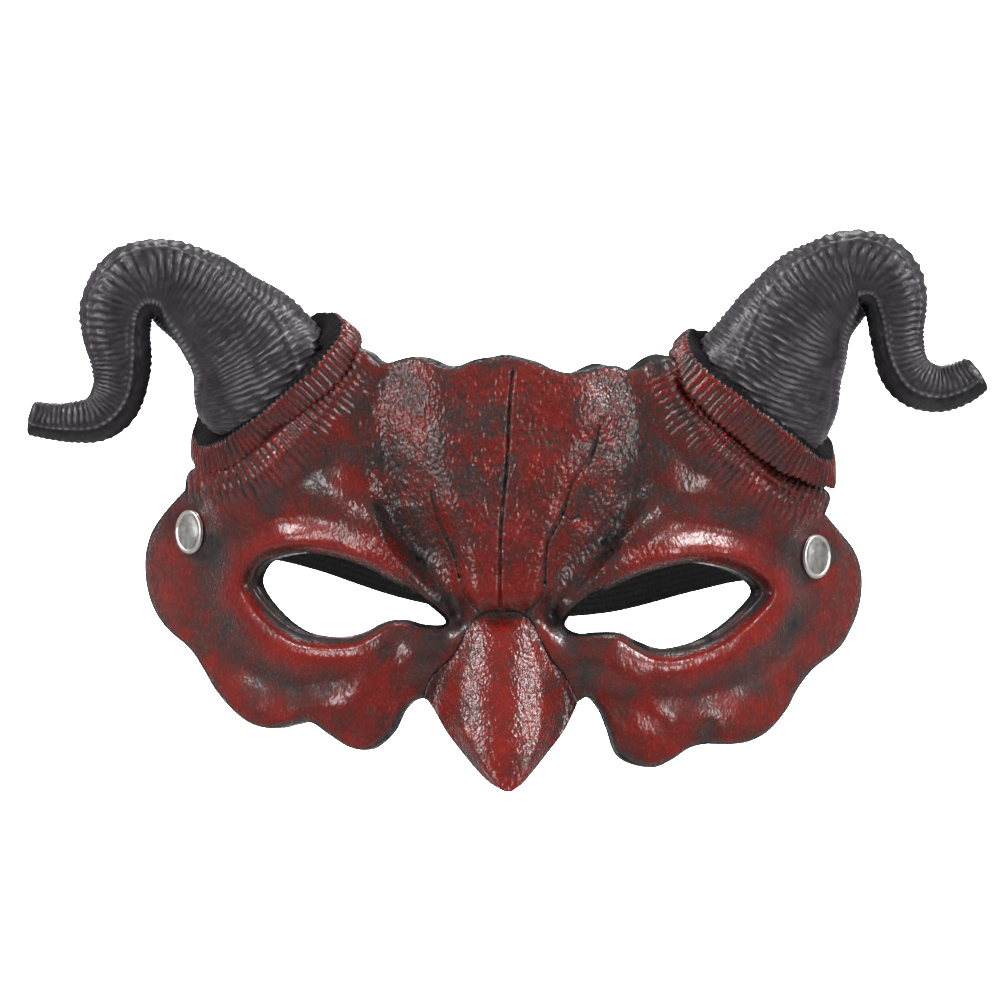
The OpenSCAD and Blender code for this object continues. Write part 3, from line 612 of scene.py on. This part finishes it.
def beak_grid(left, right):
    """The shares across a row, and [x, z] of all points, from the top edge down to the tip."""
    top = np.concatenate([smooth(SEAM[-1], 8)[TOP_STEPS:0:-1], smooth(SEAM[1], 8)[:TOP_STEPS + 1]])
    u = np.linspace(0, 1, BEAK_COLS)
    # close steps near the two edges, where the section is steep
    u = 0.5 - 0.5 * np.cos(math.pi * (0.35 * u + 0.65 * (0.5 - 0.5 * np.cos(math.pi * u))))
    q = left[:, None] + u[None, :, None] * (right - left)[:, None]
    keep = (1 - step_up(0, 0.22, np.linspace(0, 1, BEAK_ROWS)))[:, None, None]
    return u, q + keep * (at_shares(top, u) - q[0])[None]


def beak_edge_y(line, side):
    """Depth of a side: on the face along the seam, and drawn forward to the tip below it."""
    z = line[:, 1]
    k = step_up(25, 47, -z)
    deep = EDGE_DEPTH + (TIP_DEPTH - EDGE_DEPTH) * step_up(42, 47, -z)
    y = seam_height(line, side) * (1 - k) + (ridge_y(z) + deep) * k
    kernel = np.hanning(2 * EDGE_WINDOW + 1)
    return np.convolve(np.pad(y, EDGE_WINDOW, mode="edge"), kernel / kernel.sum(), "valid") + 0.2


def beak_paint(flat, off, to_edge, pits):
    """How dark the beak's paint is, and two painted highlight stripes down each side of the ridge, the right
    one stronger.
    """
    x, z = flat[:, 0], flat[:, 1]
    wash = 0.36 + 0.25 * hill(to_edge, 0.4) - 0.03 * pits
    wash += 0.06 * waves(flat, 12, 43) + 0.04 * waves(flat, 4, 44)
    wash += 0.14 * step_up(0.55, 1.1, off) - 0.15 * step_up(40, 46, -z)
    wash += 0.25 * step_up(-5.6, -3.4, z) - 0.1 * hill(x + 0.5, 2.4)
    # painted highlight: a pale stripe down each side of the ridge, stronger on the right, fading at the top
    # and the tip
    rubbed_paint_and_highlight = 0.5 * (hill(x + 6.8, 3) + 1.3 * hill(x - 6.2, 3))
    return wash, rubbed_paint_and_highlight * step_up(4, 9, -z) * (1 - step_up(38, 46, -z))


def make_beak():
    left, right = beak_side(-1), beak_side(1)
    u, q = beak_grid(left, right)
    x, z = q[:, :, 0], q[:, :, 1]
    y_edge = beak_edge_y(left, -1)[:, None] * (1 - u) + beak_edge_y(right, 1)[:, None] * u
    swell = smooth(BEAK_SWELL, 8)
    # the ridge bends to the right near the tip
    centre = 1.7 * step_up(28, 47.4, -z) - 0.9
    off = np.abs(x - centre) / np.interp(z, swell[:, 0], swell[:, 1])
    # a round section, then steep sides down to the edges
    steep = step_up(0.6, 1.06, off)
    y_roof = (ridge_y(z) + BEAK_BEND * (x - centre) ** 2) * (1 - steep) + y_edge * steep
    lift = step_up(-0.02, 0.12, np.linspace(0, 1, BEAK_ROWS))[:, None]
    y = y_edge + (y_roof - y_edge) * lift
    flat = q.reshape(-1, 2)
    to_edge, _ = near(flat, closed_line(np.concatenate([left, right[::-1]])))
    pits = pitting(flat, 0.6, 42, 45)
    detail = 0.12 * waves(flat, 10, 41) + 0.045 * pits
    detail -= 0.2 * (1 - np.clip(to_edge / 0.5, 0, 1)) ** 2
    wash, rubbed_paint_and_highlight = beak_paint(flat, off.ravel(), to_edge, pits)
    front = np.stack([flat[:, 0], y.ravel() - detail, flat[:, 1]], 1)
    # the inside is narrower than the front by part of the wall on each side
    grid = front.reshape(BEAK_ROWS, BEAK_COLS, 3)
    mid = (grid[:, :1, 0] + grid[:, -1:, 0]) / 2
    half = (grid[:, -1:, 0] - grid[:, :1, 0]) / 2
    back = grid.copy()
    back[:, :, 0] = mid + np.maximum(0.3, (half - 0.7 * SHELL_T) / half) * (grid[:, :, 0] - mid)
    back[:, :, 1] += SHELL_T
    verts = np.concatenate([front, back.reshape(-1, 3)])
    count = len(front)
    piece = new_piece("painted_beak", verts, plate_faces(BEAK_ROWS, BEAK_COLS),
                      {"wash": np.concatenate([wash, np.full(count, BACKING)]),
                       "grit": np.full(2 * count, 0.9),
                       "rubbed_paint_and_highlight": np.concatenate([rubbed_paint_and_highlight, np.zeros(count)])})
    weld(piece)
    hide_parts("nose_beak")
    return piece


# ---- horns ----

HORN_SIDES = 150
HORN_STEP = 0.42
BLUNT_TIP = 2.2
# How far the horn's flat face turns outwards at its root.
ROOT_TURN = 0.6
# How far round towards the outer edge the thin seam lies, as a cosine.
SEAM_AT = 0.76


def unit_rows(v):
    return v / np.linalg.norm(v, axis=1)[:, None]


def squared_circle(a, power):
    """Cosine and sine of a, pushed out towards a square as power falls below 1."""
    c, s = np.cos(a), np.sin(a)
    return np.sign(c) * np.abs(c) ** power, np.sign(s) * np.abs(s) ** power


def folds(run, pitch, offset=0, sharpness=1):
    """Folds across a horn: 1 on a crest and 0 between two."""
    return np.abs(np.cos(math.pi * (run / pitch + offset))) ** sharpness


def horn_line(side):
    """Even steps along the horn: [x, y, z, width, place along the path], and the two ways across."""
    path = smooth(HORN[side], 24)
    turn_at = np.linspace(0, len(HORN[side]) - 1, len(path))
    line = even(np.column_stack([path, turn_at]), HORN_STEP)
    # the root ends inside the collar
    line = line[line[:, 4] > ROOT_AT]
    d = unit_rows(np.gradient(line[:, :3], axis=0))
    for _ in range(6):
        d[1:-1] = unit_rows(d[:-2] + d[1:-1] + d[2:])
    turn = -ROOT_TURN * side * (1 - step_up(1.5, 5, line[:, 4]))
    ref = np.stack([turn, np.ones_like(turn), np.zeros_like(turn)], 1)
    across = unit_rows(np.cross(d, ref))
    return line, across, np.cross(across, d)


def horn_detail(p, run, size, curl, front, turn_at):
    """Height of the ribs, seams and beads, and how light their crests are: rubbed paint and painted glints,
    with painted shade on the underside.

    curl is 1 on the inside of the bend and -1 on the outside.
    """
    ribs = folds(run, 1.5, 0.2 * waves(p, 18, 61) + 0.07 * waves(p, 5, 62), 3)
    hairs = folds(run, 0.85, 0.5 * waves(p, 9, 63), 2)
    beads = folds(run, 1.7)
    slant = 5 * np.maximum(0, -curl - SEAM_AT)
    coarse = folds(run, 1.4, slant + 0.15 * waves(p, 7, 65))
    patch = step_up(-1.2, 1, waves(p, 4.5, 64))
    base = 1 - step_up(3, 6, turn_at)
    # the inner lip leaves the edge of the horn at the bend and runs down the middle of the tail
    lip_at = 0.86 - 0.36 * step_up(4, 8, turn_at) - 0.18 * step_up(8, 11, turn_at)
    under = step_up(0, 0.12, curl - lip_at)
    grip = step_up(0.55 + 0.3 * base, -0.1 + 0.4 * base, curl) * (1 - 0.6 * step_up(0.78, 0.95, -curl))
    grip = np.where(front, grip, 0.6) * (1 - under)
    fine = base * (1 - under) * hairs * patch
    height = grip * (0.32 + 0.36 * patch) * (ribs - 0.35) + 0.16 * fine
    # a thin seam inside the outer edge, and a beaded one along the inner lip
    outer = curl + SEAM_AT
    inner = curl - lip_at
    seam_here = np.where(front, 1.0, 0.5) * (1 - step_up(9, 11, turn_at))
    height += 0.28 * seam_here * (hill(outer, 0.025) - 0.8 * hill(outer - 0.06, 0.03))
    height += 0.45 * hill(inner, 0.05) * (0.5 + 0.5 * beads) - 0.3 * hill(inner - 0.12, 0.06)
    height -= 0.25 * hill(inner + 0.1, 0.05)
    height += 0.4 * (coarse - 0.5) * step_up(0.8, 0.95, np.abs(curl))
    height += 0.12 * waves(p, 11, 66) + 0.03 * waves(p, 1.6, 67)
    height *= np.clip(size / 7, 0.35, 1)
    # painted glints on the rib crests, strongest on the outer half of the front
    glint = 0.4 + 0.7 * hill(curl + 0.45, 0.3)
    ridge = grip * glint * (0.2 + 0.8 * patch) * (ribs - 0.3) + 0.35 * fine
    ridge += 0.5 * seam_here * hill(outer, 0.024) * (0.3 + 0.7 * patch)
    # the beads along the inner lip are lighter; the underside beyond the lip is darkened as painted shade
    ridge += 0.7 * hill(inner, 0.06) * beads - 0.25 * under
    ridge += 0.4 * (coarse - 0.6) * step_up(0.8, 0.9, -curl)
    return height, ridge


def make_horn(side, name, node):
    line, across, up = horn_line(side)
    s = run_of(line)
    to_tip = np.clip(BLUNT_TIP - (s[-1] - s), 0, BLUNT_TIP) / BLUNT_TIP
    blunt = np.sqrt(np.clip(1 - to_tip ** 4, 0, 1))
    wide = line[:, 3] / 2 * np.maximum(blunt, 0.02) * (0.96 + 0.04 * step_up(4, 14, s))
    a = np.linspace(0, 2 * math.pi, HORN_SIDES, endpoint=False)
    cos, sin = np.cos(a)[None, :, None], np.sin(a)[None, :, None]
    out = (across[:, None] * cos + up[:, None] * sin).reshape(-1, 3)
    half = wide[:, None, None]
    p = (line[:, None, :3] + across[:, None] * half * cos
         + up[:, None] * half * HORN_FLAT * sin).reshape(-1, 3)
    rows = len(line)
    height, ridge = horn_detail(
        p, np.repeat(s, HORN_SIDES), np.repeat(wide, HORN_SIDES),
        curl=np.tile(np.cos(a), rows) * -side, front=np.tile(np.sin(a), rows) < 0,
        turn_at=np.repeat(line[:, 4], HORN_SIDES))
    faces = grid_quads(rows, HORN_SIDES, close_cols=True)
    faces.append(list(range(HORN_SIDES - 1, -1, -1)))
    faces.append([(rows - 1) * HORN_SIDES + i for i in range(HORN_SIDES)])
    piece = new_piece(name, p + out * height[:, None], faces, {"ridge": ridge})
    weld(piece)
    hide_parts(node)
    return piece


# ---- collars ----

COLLAR_STEPS = 620
COLLAR_ROUNDS = 40
# Thickness of the band outwards, and inwards to the horn in front and behind.
BAND_OUT = 3
BAND_IN = (5, 10)
# How much further the ring reaches behind the horn than in front of it.
BACK_REACH = 1.3


def make_collar(side, name, node):
    c, axis, front = (np.array(v, float) for v in COLLAR[side])
    phi = np.linspace(0, 2 * math.pi, COLLAR_STEPS, endpoint=False)
    cos_phi, sin_phi = squared_circle(phi, 0.8)
    depth = np.where(sin_phi < 0, BACK_REACH, 1) * sin_phi
    core = c + cos_phi[:, None] * axis + depth[:, None] * front
    normal = np.cross(axis, front)
    normal *= np.sign(normal[2]) / np.linalg.norm(normal)
    tangent = unit_rows(np.gradient(np.concatenate([core[-2:], core, core[:2]]), axis=0)[2:-2])
    outward = unit_rows(np.cross(tangent, normal))
    outward *= np.sign(np.sum(outward * (core - c), axis=1))[:, None]
    # the outer end of the band stands upright, and both ends are narrower
    outer_end = step_up(0.2, 1, -cos_phi)
    inner_end = step_up(0.4, 1, cos_phi)
    normals = unit_rows(normal + outer_end[:, None] * (-0.66 * side, 0, 0.3))
    narrow = COLLAR_NARROW[side] * np.maximum(outer_end, 1.35 * inner_end)
    tall = COLLAR_HALF[side] * (1 - narrow)[:, None, None]
    # thick enough to close on the horn, above all round its back
    band_in = (BAND_IN[0] + (BAND_IN[1] - BAND_IN[0]) * step_up(0.3, -0.4, sin_phi))[:, None]
    psi = np.linspace(0, 2 * math.pi, COLLAR_ROUNDS, endpoint=False)
    cos_psi, sin_psi = squared_circle(psi, 0.4)
    across = (np.where(cos_psi > 0, BAND_OUT, band_in) * cos_psi)[:, :, None]
    out = outward[:, None] * cos_psi[None, :, None] + normals[:, None] * sin_psi[None, :, None]
    p = (core[:, None] + outward[:, None] * across
         + normals[:, None] * tall * sin_psi[None, :, None]).reshape(-1, 3)
    along = np.repeat(run_of(closed_line(core))[:-1], COLLAR_ROUNDS)
    fold = pleats(along, p, 1.65, 71 + side)
    height = 0.6 * (fold - 0.6) + 0.2 * waves(p, 9, 73) + 0.04 * waves(p, 1.8, 75)
    top = np.tile(sin_psi, COLLAR_STEPS)
    inside = step_up(0.75, 0.2, np.tile(np.cos(psi), COLLAR_STEPS))
    facing = np.repeat(np.sin(phi), COLLAR_ROUNDS)
    # black wash in the pleats' hollows and darker top and bottom faces; the back half of the ring is darker
    # too, and the inner face against the horn is darkened as painted shade
    wash = 0.36 + 0.45 * (1 - fold) + 0.08 * waves(p, 8, 74) + 0.25 * step_up(0.9, 1, np.abs(top))
    wash += 0.5 * step_up(0.1, 0.7, -facing) + 0.6 * inside
    # painted highlight glints on the pleat crests along the band's upper front edge
    rubbed_paint_and_highlight = 0.8 * fold * (1 - inside) * step_up(0.5, 0.95, top) * step_up(0, 0.5, facing)
    verts = p + out.reshape(-1, 3) * height[:, None]
    faces = grid_quads(COLLAR_STEPS, COLLAR_ROUNDS, close_rows=True, close_cols=True)
    piece = new_piece(name, verts, faces,
                      {"wash": wash, "grit": np.full(len(verts), 0.3), "rubbed_paint_and_highlight": rubbed_paint_and_highlight})
    weld(piece)
    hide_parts(node)
    return piece


# ---- rivet caps: a rolled rim round a shallow dome ----

# Half outline of a cap: (radius, height over the wall).
CAP = [(0.3, 0.35), (5.1, 0.35), (5.42, 0.5), (5.5, 0.8), (5.36, 1.08), (5.02, 1.2), (4.66, 1.1),
       (4.44, 0.96), (4.1, 1), (3.2, 1.3), (2.2, 1.54), (1.1, 1.68), (0.3, 1.7)]


def make_cap(side, name, node):
    x, z = RIVET[side]
    outward = np.append(-inward(np.array([float(x)]))[0], 0)
    flat = np.array([-outward[1], outward[0], 0])
    centre = np.array([x, face_y(np.array([[x, z]], float))[0], z])
    turns = 96
    a = np.linspace(0, 2 * math.pi, turns, endpoint=False)
    ring = np.cos(a)[:, None] * flat + np.sin(a)[:, None] * (0, 0, 1)
    profile = smooth(CAP, 4)
    verts = (centre + ring[None] * profile[:, :1, None] + outward * profile[:, 1:, None]).reshape(-1, 3)
    radius = np.repeat(profile[:, 0], turns)
    faces = grid_quads(len(profile), turns, close_cols=True)
    last = (len(profile) - 1) * turns
    faces += [list(range(turns - 1, -1, -1)), list(range(last, last + turns))]
    piece = new_piece(name, verts + outward * (0.02 * waves(verts, 3, 81 + side))[:, None], faces,
                      {"rim": step_up(4.3, 4.8, radius)})
    weld(piece)
    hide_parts(node)
    return piece


# ---- the strap ----

def tab_line(side, z):
    """The middle of the elastic along the inside of a temple, out to the hinge."""
    x = np.array(STRAP_X, float) * side
    push = inward(x) * (SHELL_T + STRAP_COVER + STRAP_T / 2)
    y = face_y(np.stack([x, np.full(len(x), z)], 1)) + push[:, 1]
    points = [(x[i] + push[i, 0], y[i], z) for i in range(len(x))]
    return points + [(side * 82.6, 52.5, z), (side * 83.2, 58, z), (side * 83.3, 65, z)]


def make_strap():
    line = smooth(tab_line(-1, RIVET[-1][1]) + LOOP + tab_line(1, RIVET[1][1])[::-1], 12)
    line = even(line, 0.8)
    d = unit_rows(np.gradient(line, axis=0))
    out = unit_rows(np.cross(d, (0, 0, 1)))
    across = np.cross(out, d)
    columns = 41
    w = np.linspace(-1, 1, columns)
    # fine cords run along the elastic, and its two edges are thinner
    cords = 0.03 * np.cos(w * math.pi * 10)
    thick = STRAP_T / 2 * (1 - 0.35 * np.abs(w) ** 8) - 0.03 + cords
    sheets = []
    for sign in (-1, 1):
        sheets.append(line[:, None] + across[:, None] * (w * STRAP_W / 2)[None, :, None]
                      + sign * out[:, None] * thick[None, :, None])
    rows = len(line)
    verts = np.concatenate([s.reshape(-1, 3) for s in sheets])
    length = np.tile(np.repeat(run_of(line), columns), 2) * MM
    width = np.tile(np.tile(w * STRAP_W / 2, rows), 2) * MM
    piece = new_piece("elastic_strap", verts, plate_faces(rows, columns), {"length": length, "width": width},
                      body=None)
    weld(piece)
    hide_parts("strap_end_left", "strap_end_right", "strap_loop")
    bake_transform(piece)
    return piece


# ---- materials ----

class Shader:
    """A material whose nodes are added by name, wired by (node, output) pairs."""

    def __init__(self, name, **values):
        self.material = bpy.data.materials.new(name)
        self.material.use_nodes = True
        self.tree = self.material.node_tree
        self.surface = self.tree.nodes["Principled BSDF"]
        for key, value in values.items():
            self.surface.inputs[key.replace("_", " ")].default_value = value

    def add(self, kind, **inputs):
        """A node. Names that start with set_ are its settings; i0, i1 and i2 are sockets by number."""
        node = self.tree.nodes.new("ShaderNode" + kind)
        for key, value in inputs.items():
            if key.startswith("set_"):
                setattr(node, key[4:], value)
                continue
            socket = node.inputs[int(key[1:]) if key in ("i0", "i1", "i2") else key.replace("_", " ")]
            if isinstance(value, bpy.types.NodeSocket):
                self.tree.links.new(value, socket)
            else:
                socket.default_value = value
        return node

    def math(self, operation, a, b=0.0):
        return self.add("Math", set_operation=operation, i0=a, i1=b).outputs[0]

    def scaled(self, value, factor, base=0.0):
        """value times factor, plus base."""
        return self.add("Math", set_operation="MULTIPLY_ADD", i0=value, i1=factor, i2=base).outputs[0]

    def above(self, value, floor):
        """How far value stands above floor, and 0 below it."""
        return self.math("MAXIMUM", self.math("SUBTRACT", value, floor), 0.0)

    def noise(self, scale, detail=3.0, roughness=0.55, stretch=1.0):
        here = self.add("TexCoord").outputs["Object"]
        if stretch != 1:
            here = self.add("Mapping", Vector=here, Scale=(1, 1, 1 / stretch)).outputs[0]
        node = self.add("TexNoise", Vector=here, Scale=scale, Detail=detail, Roughness=roughness)
        return node.outputs["Fac"]

    def layer(self, name):
        return self.add("Attribute", set_attribute_name=name).outputs["Fac"]

    def ramp(self, value, stops):
        node = self.add("ValToRGB", Fac=value)
        points = node.color_ramp.elements
        while len(points) < len(stops):
            points.new(0.5)
        for point, (at, colour) in zip(points, stops):
            point.position = at
            point.color = (*colour, 1)
        return node.outputs["Color"]

    def link(self, value, name):
        self.tree.links.new(value, self.surface.inputs[name])

    def bump(self, height, strength, distance):
        node = self.add("Bump", Strength=strength, Distance=distance, Height=height)
        self.link(node.outputs["Normal"], "Normal")


def red_paint():
    """Red paint over black foam: red where the wash is low, black where it is high."""
    m = Shader("red_paint", Specular_IOR_Level=0.5)
    grit = m.layer("grit")
    grain = m.noise(900, 4, 0.7, stretch=2)
    fine = m.noise(2400, 2)
    blotch = m.scaled(m.noise(120, 5, 0.6, stretch=1.5), 0.4, -0.2)
    speck = m.math("MULTIPLY", m.math("SUBTRACT", grain, 0.5), m.scaled(grit, 0.7, 0.15))
    tone = m.math("SUBTRACT", m.math("ADD", m.layer("wash"), blotch), speck)
    tone = m.math("MAXIMUM", m.scaled(tone, 0.8, 0.2), 0.2)
    # pale specks: rubbed paint and painted highlight, where the pale layer is high; the ramp's palest stop
    # is the pinkish white of the highlight
    pale = m.above(m.scaled(fine, 0.3, grain), 0.68)
    shown = m.math("SUBTRACT", tone, m.scaled(m.math("MULTIPLY", pale, m.layer("rubbed_paint_and_highlight")), 3.2))
    m.link(m.ramp(shown, [
        (0.0, (0.5, 0.4, 0.39)), (0.12, (0.34, 0.12, 0.11)), (0.2, (0.26, 0.012, 0.007)),
        (0.42, (0.19, 0.012, 0.008)), (0.58, (0.115, 0.018, 0.014)),
        (0.74, (0.058, 0.028, 0.026)), (0.9, (0.03, 0.025, 0.026)), (1.0, (0.015, 0.013, 0.014)),
    ]), "Base Color")
    pits = m.noise(1500, 0.5, 0.5, stretch=1.3)
    skin = m.math("MULTIPLY", m.scaled(fine, 0.1, pits), m.math("ADD", grit, 0.12))
    m.bump(skin, 0.8, 0.0003)
    # the black is duller than the red
    gloss = m.scaled(m.above(tone, 0.8), -2.0, 0.5)
    m.link(m.math("MAXIMUM", gloss, 0.06), "Specular IOR Level")
    m.link(m.scaled(m.above(tone, 0.7), 0.5, m.scaled(grain, 0.2, 0.16)), "Roughness")
    return m.material


def dark_horn():
    """Charcoal foam whose crests are rubbed lighter and carry painted glints, with painted shade on the
    underside.
    """
    m = Shader("dark_horn", Specular_IOR_Level=0.4)
    grain = m.noise(500, 4, 0.6)
    blotch = m.scaled(m.noise(90, 3), 0.3, -0.15)
    tone = m.math("ADD", m.scaled(m.layer("ridge"), 0.7, m.scaled(grain, 0.4)), blotch)
    m.link(m.ramp(tone, [
        (0.0, (0.012, 0.011, 0.013)), (0.2, (0.038, 0.033, 0.041)),
        (0.5, (0.083, 0.075, 0.087)), (0.95, (0.42, 0.41, 0.42)),
    ]), "Base Color")
    m.bump(m.scaled(m.noise(1600, 2), 0.4, grain), 0.45, 0.0003)
    m.link(m.scaled(grain, 0.3, 0.19), "Roughness")
    return m.material


def worn_metal():
    """A cap with a dull patina and a bright rolled rim."""
    m = Shader("cap_metal", Metallic=1.0)
    cloud = m.noise(380, 4, 0.6)
    m.link(m.ramp(m.scaled(m.layer("rim"), 0.35, cloud), [
        (0.3, (0.3, 0.29, 0.27)), (0.5, (0.52, 0.5, 0.47)), (0.75, (0.9, 0.88, 0.85)),
    ]), "Base Color")
    m.link(m.scaled(cloud, 0.3, 0.2), "Roughness")
    m.bump(m.noise(900, 3), 0.2, 0.0002)
    return m.material


# Spacing of the elastic's threads across and along it, in metres.
STRIPE_PITCH = 0.0015
PICK_PITCH = 0.001


def woven_elastic():
    m = Shader("woven_elastic", Roughness=0.8, Specular_IOR_Level=0.25)
    stripes = m.math("SINE", m.scaled(m.layer("width"), 2 * math.pi / STRIPE_PITCH))
    picks = m.math("SINE", m.scaled(m.layer("length"), 2 * math.pi / PICK_PITCH))
    weave = m.scaled(stripes, 0.5, m.scaled(picks, 0.35))
    m.bump(m.math("ADD", weave, m.noise(2200, 2)), 0.3, 0.0002)
    shade = m.scaled(weave, 0.35, 0.5)
    m.link(m.ramp(shade, [(0.1, (0.008, 0.008, 0.008)), (0.9, (0.016, 0.016, 0.016))]), "Base Color")
    return m.material


def dress(piece, material):
    piece.data.materials.clear()
    piece.data.materials.append(material)


red = red_paint()
horn_dark = dark_horn()
metal = worn_metal()

dress(make_shell(), red)
dress(make_beak(), red)
for side, word in ((-1, "left"), (1, "right")):
    dress(make_horn(side, "wrinkled_horn_" + word, "horn_" + word), horn_dark)
    dress(make_collar(side, "pleated_collar_" + word, "horn_collar_" + word), red)
    dress(make_cap(side, "domed_cap_" + word, "rivet_cap_" + word), metal)
    dress(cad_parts["rivet_post_" + word], metal)
dress(make_strap(), woven_elastic())


# ---- studio ----

def studio_material(name, colour, roughness):
    m = Shader(name, Roughness=roughness)
    m.surface.inputs["Base Color"].default_value = (*colour, 1)
    return m.material


def make_floor():
    """A round pale floor that curves up all round, far enough out for a camera on any side."""
    radius, depth, bend = 6.6, -1.3, 1.2
    t = np.linspace(0, math.pi / 2, 14)
    r = np.concatenate([[0.01, 1.5, 4], radius - bend + bend * np.sin(t), [radius]])
    z = np.concatenate([[depth] * 3, depth + bend - bend * np.cos(t), [3.4]])
    turns = 72
    a = np.linspace(0, 2 * math.pi, turns, endpoint=False)
    verts = [(r[i] * math.cos(v), r[i] * math.sin(v), z[i]) for i in range(len(r)) for v in a]
    mesh = bpy.data.meshes.new("floor")
    mesh.from_pydata(verts, [], grid_quads(len(r), turns, close_cols=True))
    mesh.shade_smooth()
    floor = bpy.data.objects.new("floor", mesh)
    bpy.context.scene.collection.objects.link(floor)
    dress(floor, studio_material("pale_floor", (0.8, 0.8, 0.8), 0.9))


def soft_box(name, place, aim, width, height, power, spread=180):
    """A rectangular lamp that shines from place to aim and isn't seen itself."""
    light = bpy.data.lights.new(name, "AREA")
    light.shape = "RECTANGLE"
    light.size = width
    light.size_y = height
    light.energy = power
    light.spread = math.radians(spread)
    lamp = bpy.data.objects.new(name, light)
    lamp.visible_camera = False
    lamp.location = place
    lamp.rotation_euler = (Vector(aim) - Vector(place)).to_track_quat("-Z", "Y").to_euler()
    bpy.context.scene.collection.objects.link(lamp)


make_floor()
CENTRE = (0, 0.02, 0.02)
soft_box("upper_left", (-1.02, -0.16, 0.92), CENTRE, 0.3, 0.3, 9.8)
soft_box("upper_right", (1.02, -0.16, 0.92), CENTRE, 0.3, 0.3, 11.2)
soft_box("left", (-1.1, -0.8, 0.25), CENTRE, 0.12, 0.5, 6.6)
soft_box("right", (1.1, -0.8, 0.25), CENTRE, 0.12, 0.5, 6.6)
soft_box("behind", (0, 0.9, 1.3), CENTRE, 0.5, 0.2, 5)
soft_box("backdrop", (0, 2.6, 2.2), (0, 6.6, 0.02), 0.5, 0.5, 150, spread=40)

world = bpy.data.worlds.new("studio")
world.use_nodes = True
world.node_tree.nodes["Background"].inputs["Color"].default_value = (1, 1, 1, 1)
world.node_tree.nodes["Background"].inputs["Strength"].default_value = 0.35
bpy.context.scene.world = world

bpy.context.scene.view_settings.view_transform = "Standard"

# The picture is FRAME_W wide at the depth FRAME_Y of the object.
FRAME_W = 0.251
FRAME_Y = 0.012
DISTANCE = 5.0
SENSOR = 36
CAMERA_X = -0.00075
CAMERA_Z = 0.0245
camera = bpy.data.objects.new("camera", bpy.data.cameras.new("camera"))
camera.data.sensor_width = SENSOR
camera.data.lens = SENSOR * (DISTANCE + FRAME_Y) / FRAME_W
camera.data.clip_end = 50
camera.location = (CAMERA_X, -DISTANCE, CAMERA_Z)
camera.rotation_euler = (math.pi / 2, 0, 0)
bpy.context.scene.collection.objects.link(camera)
bpy.context.scene.camera = camera
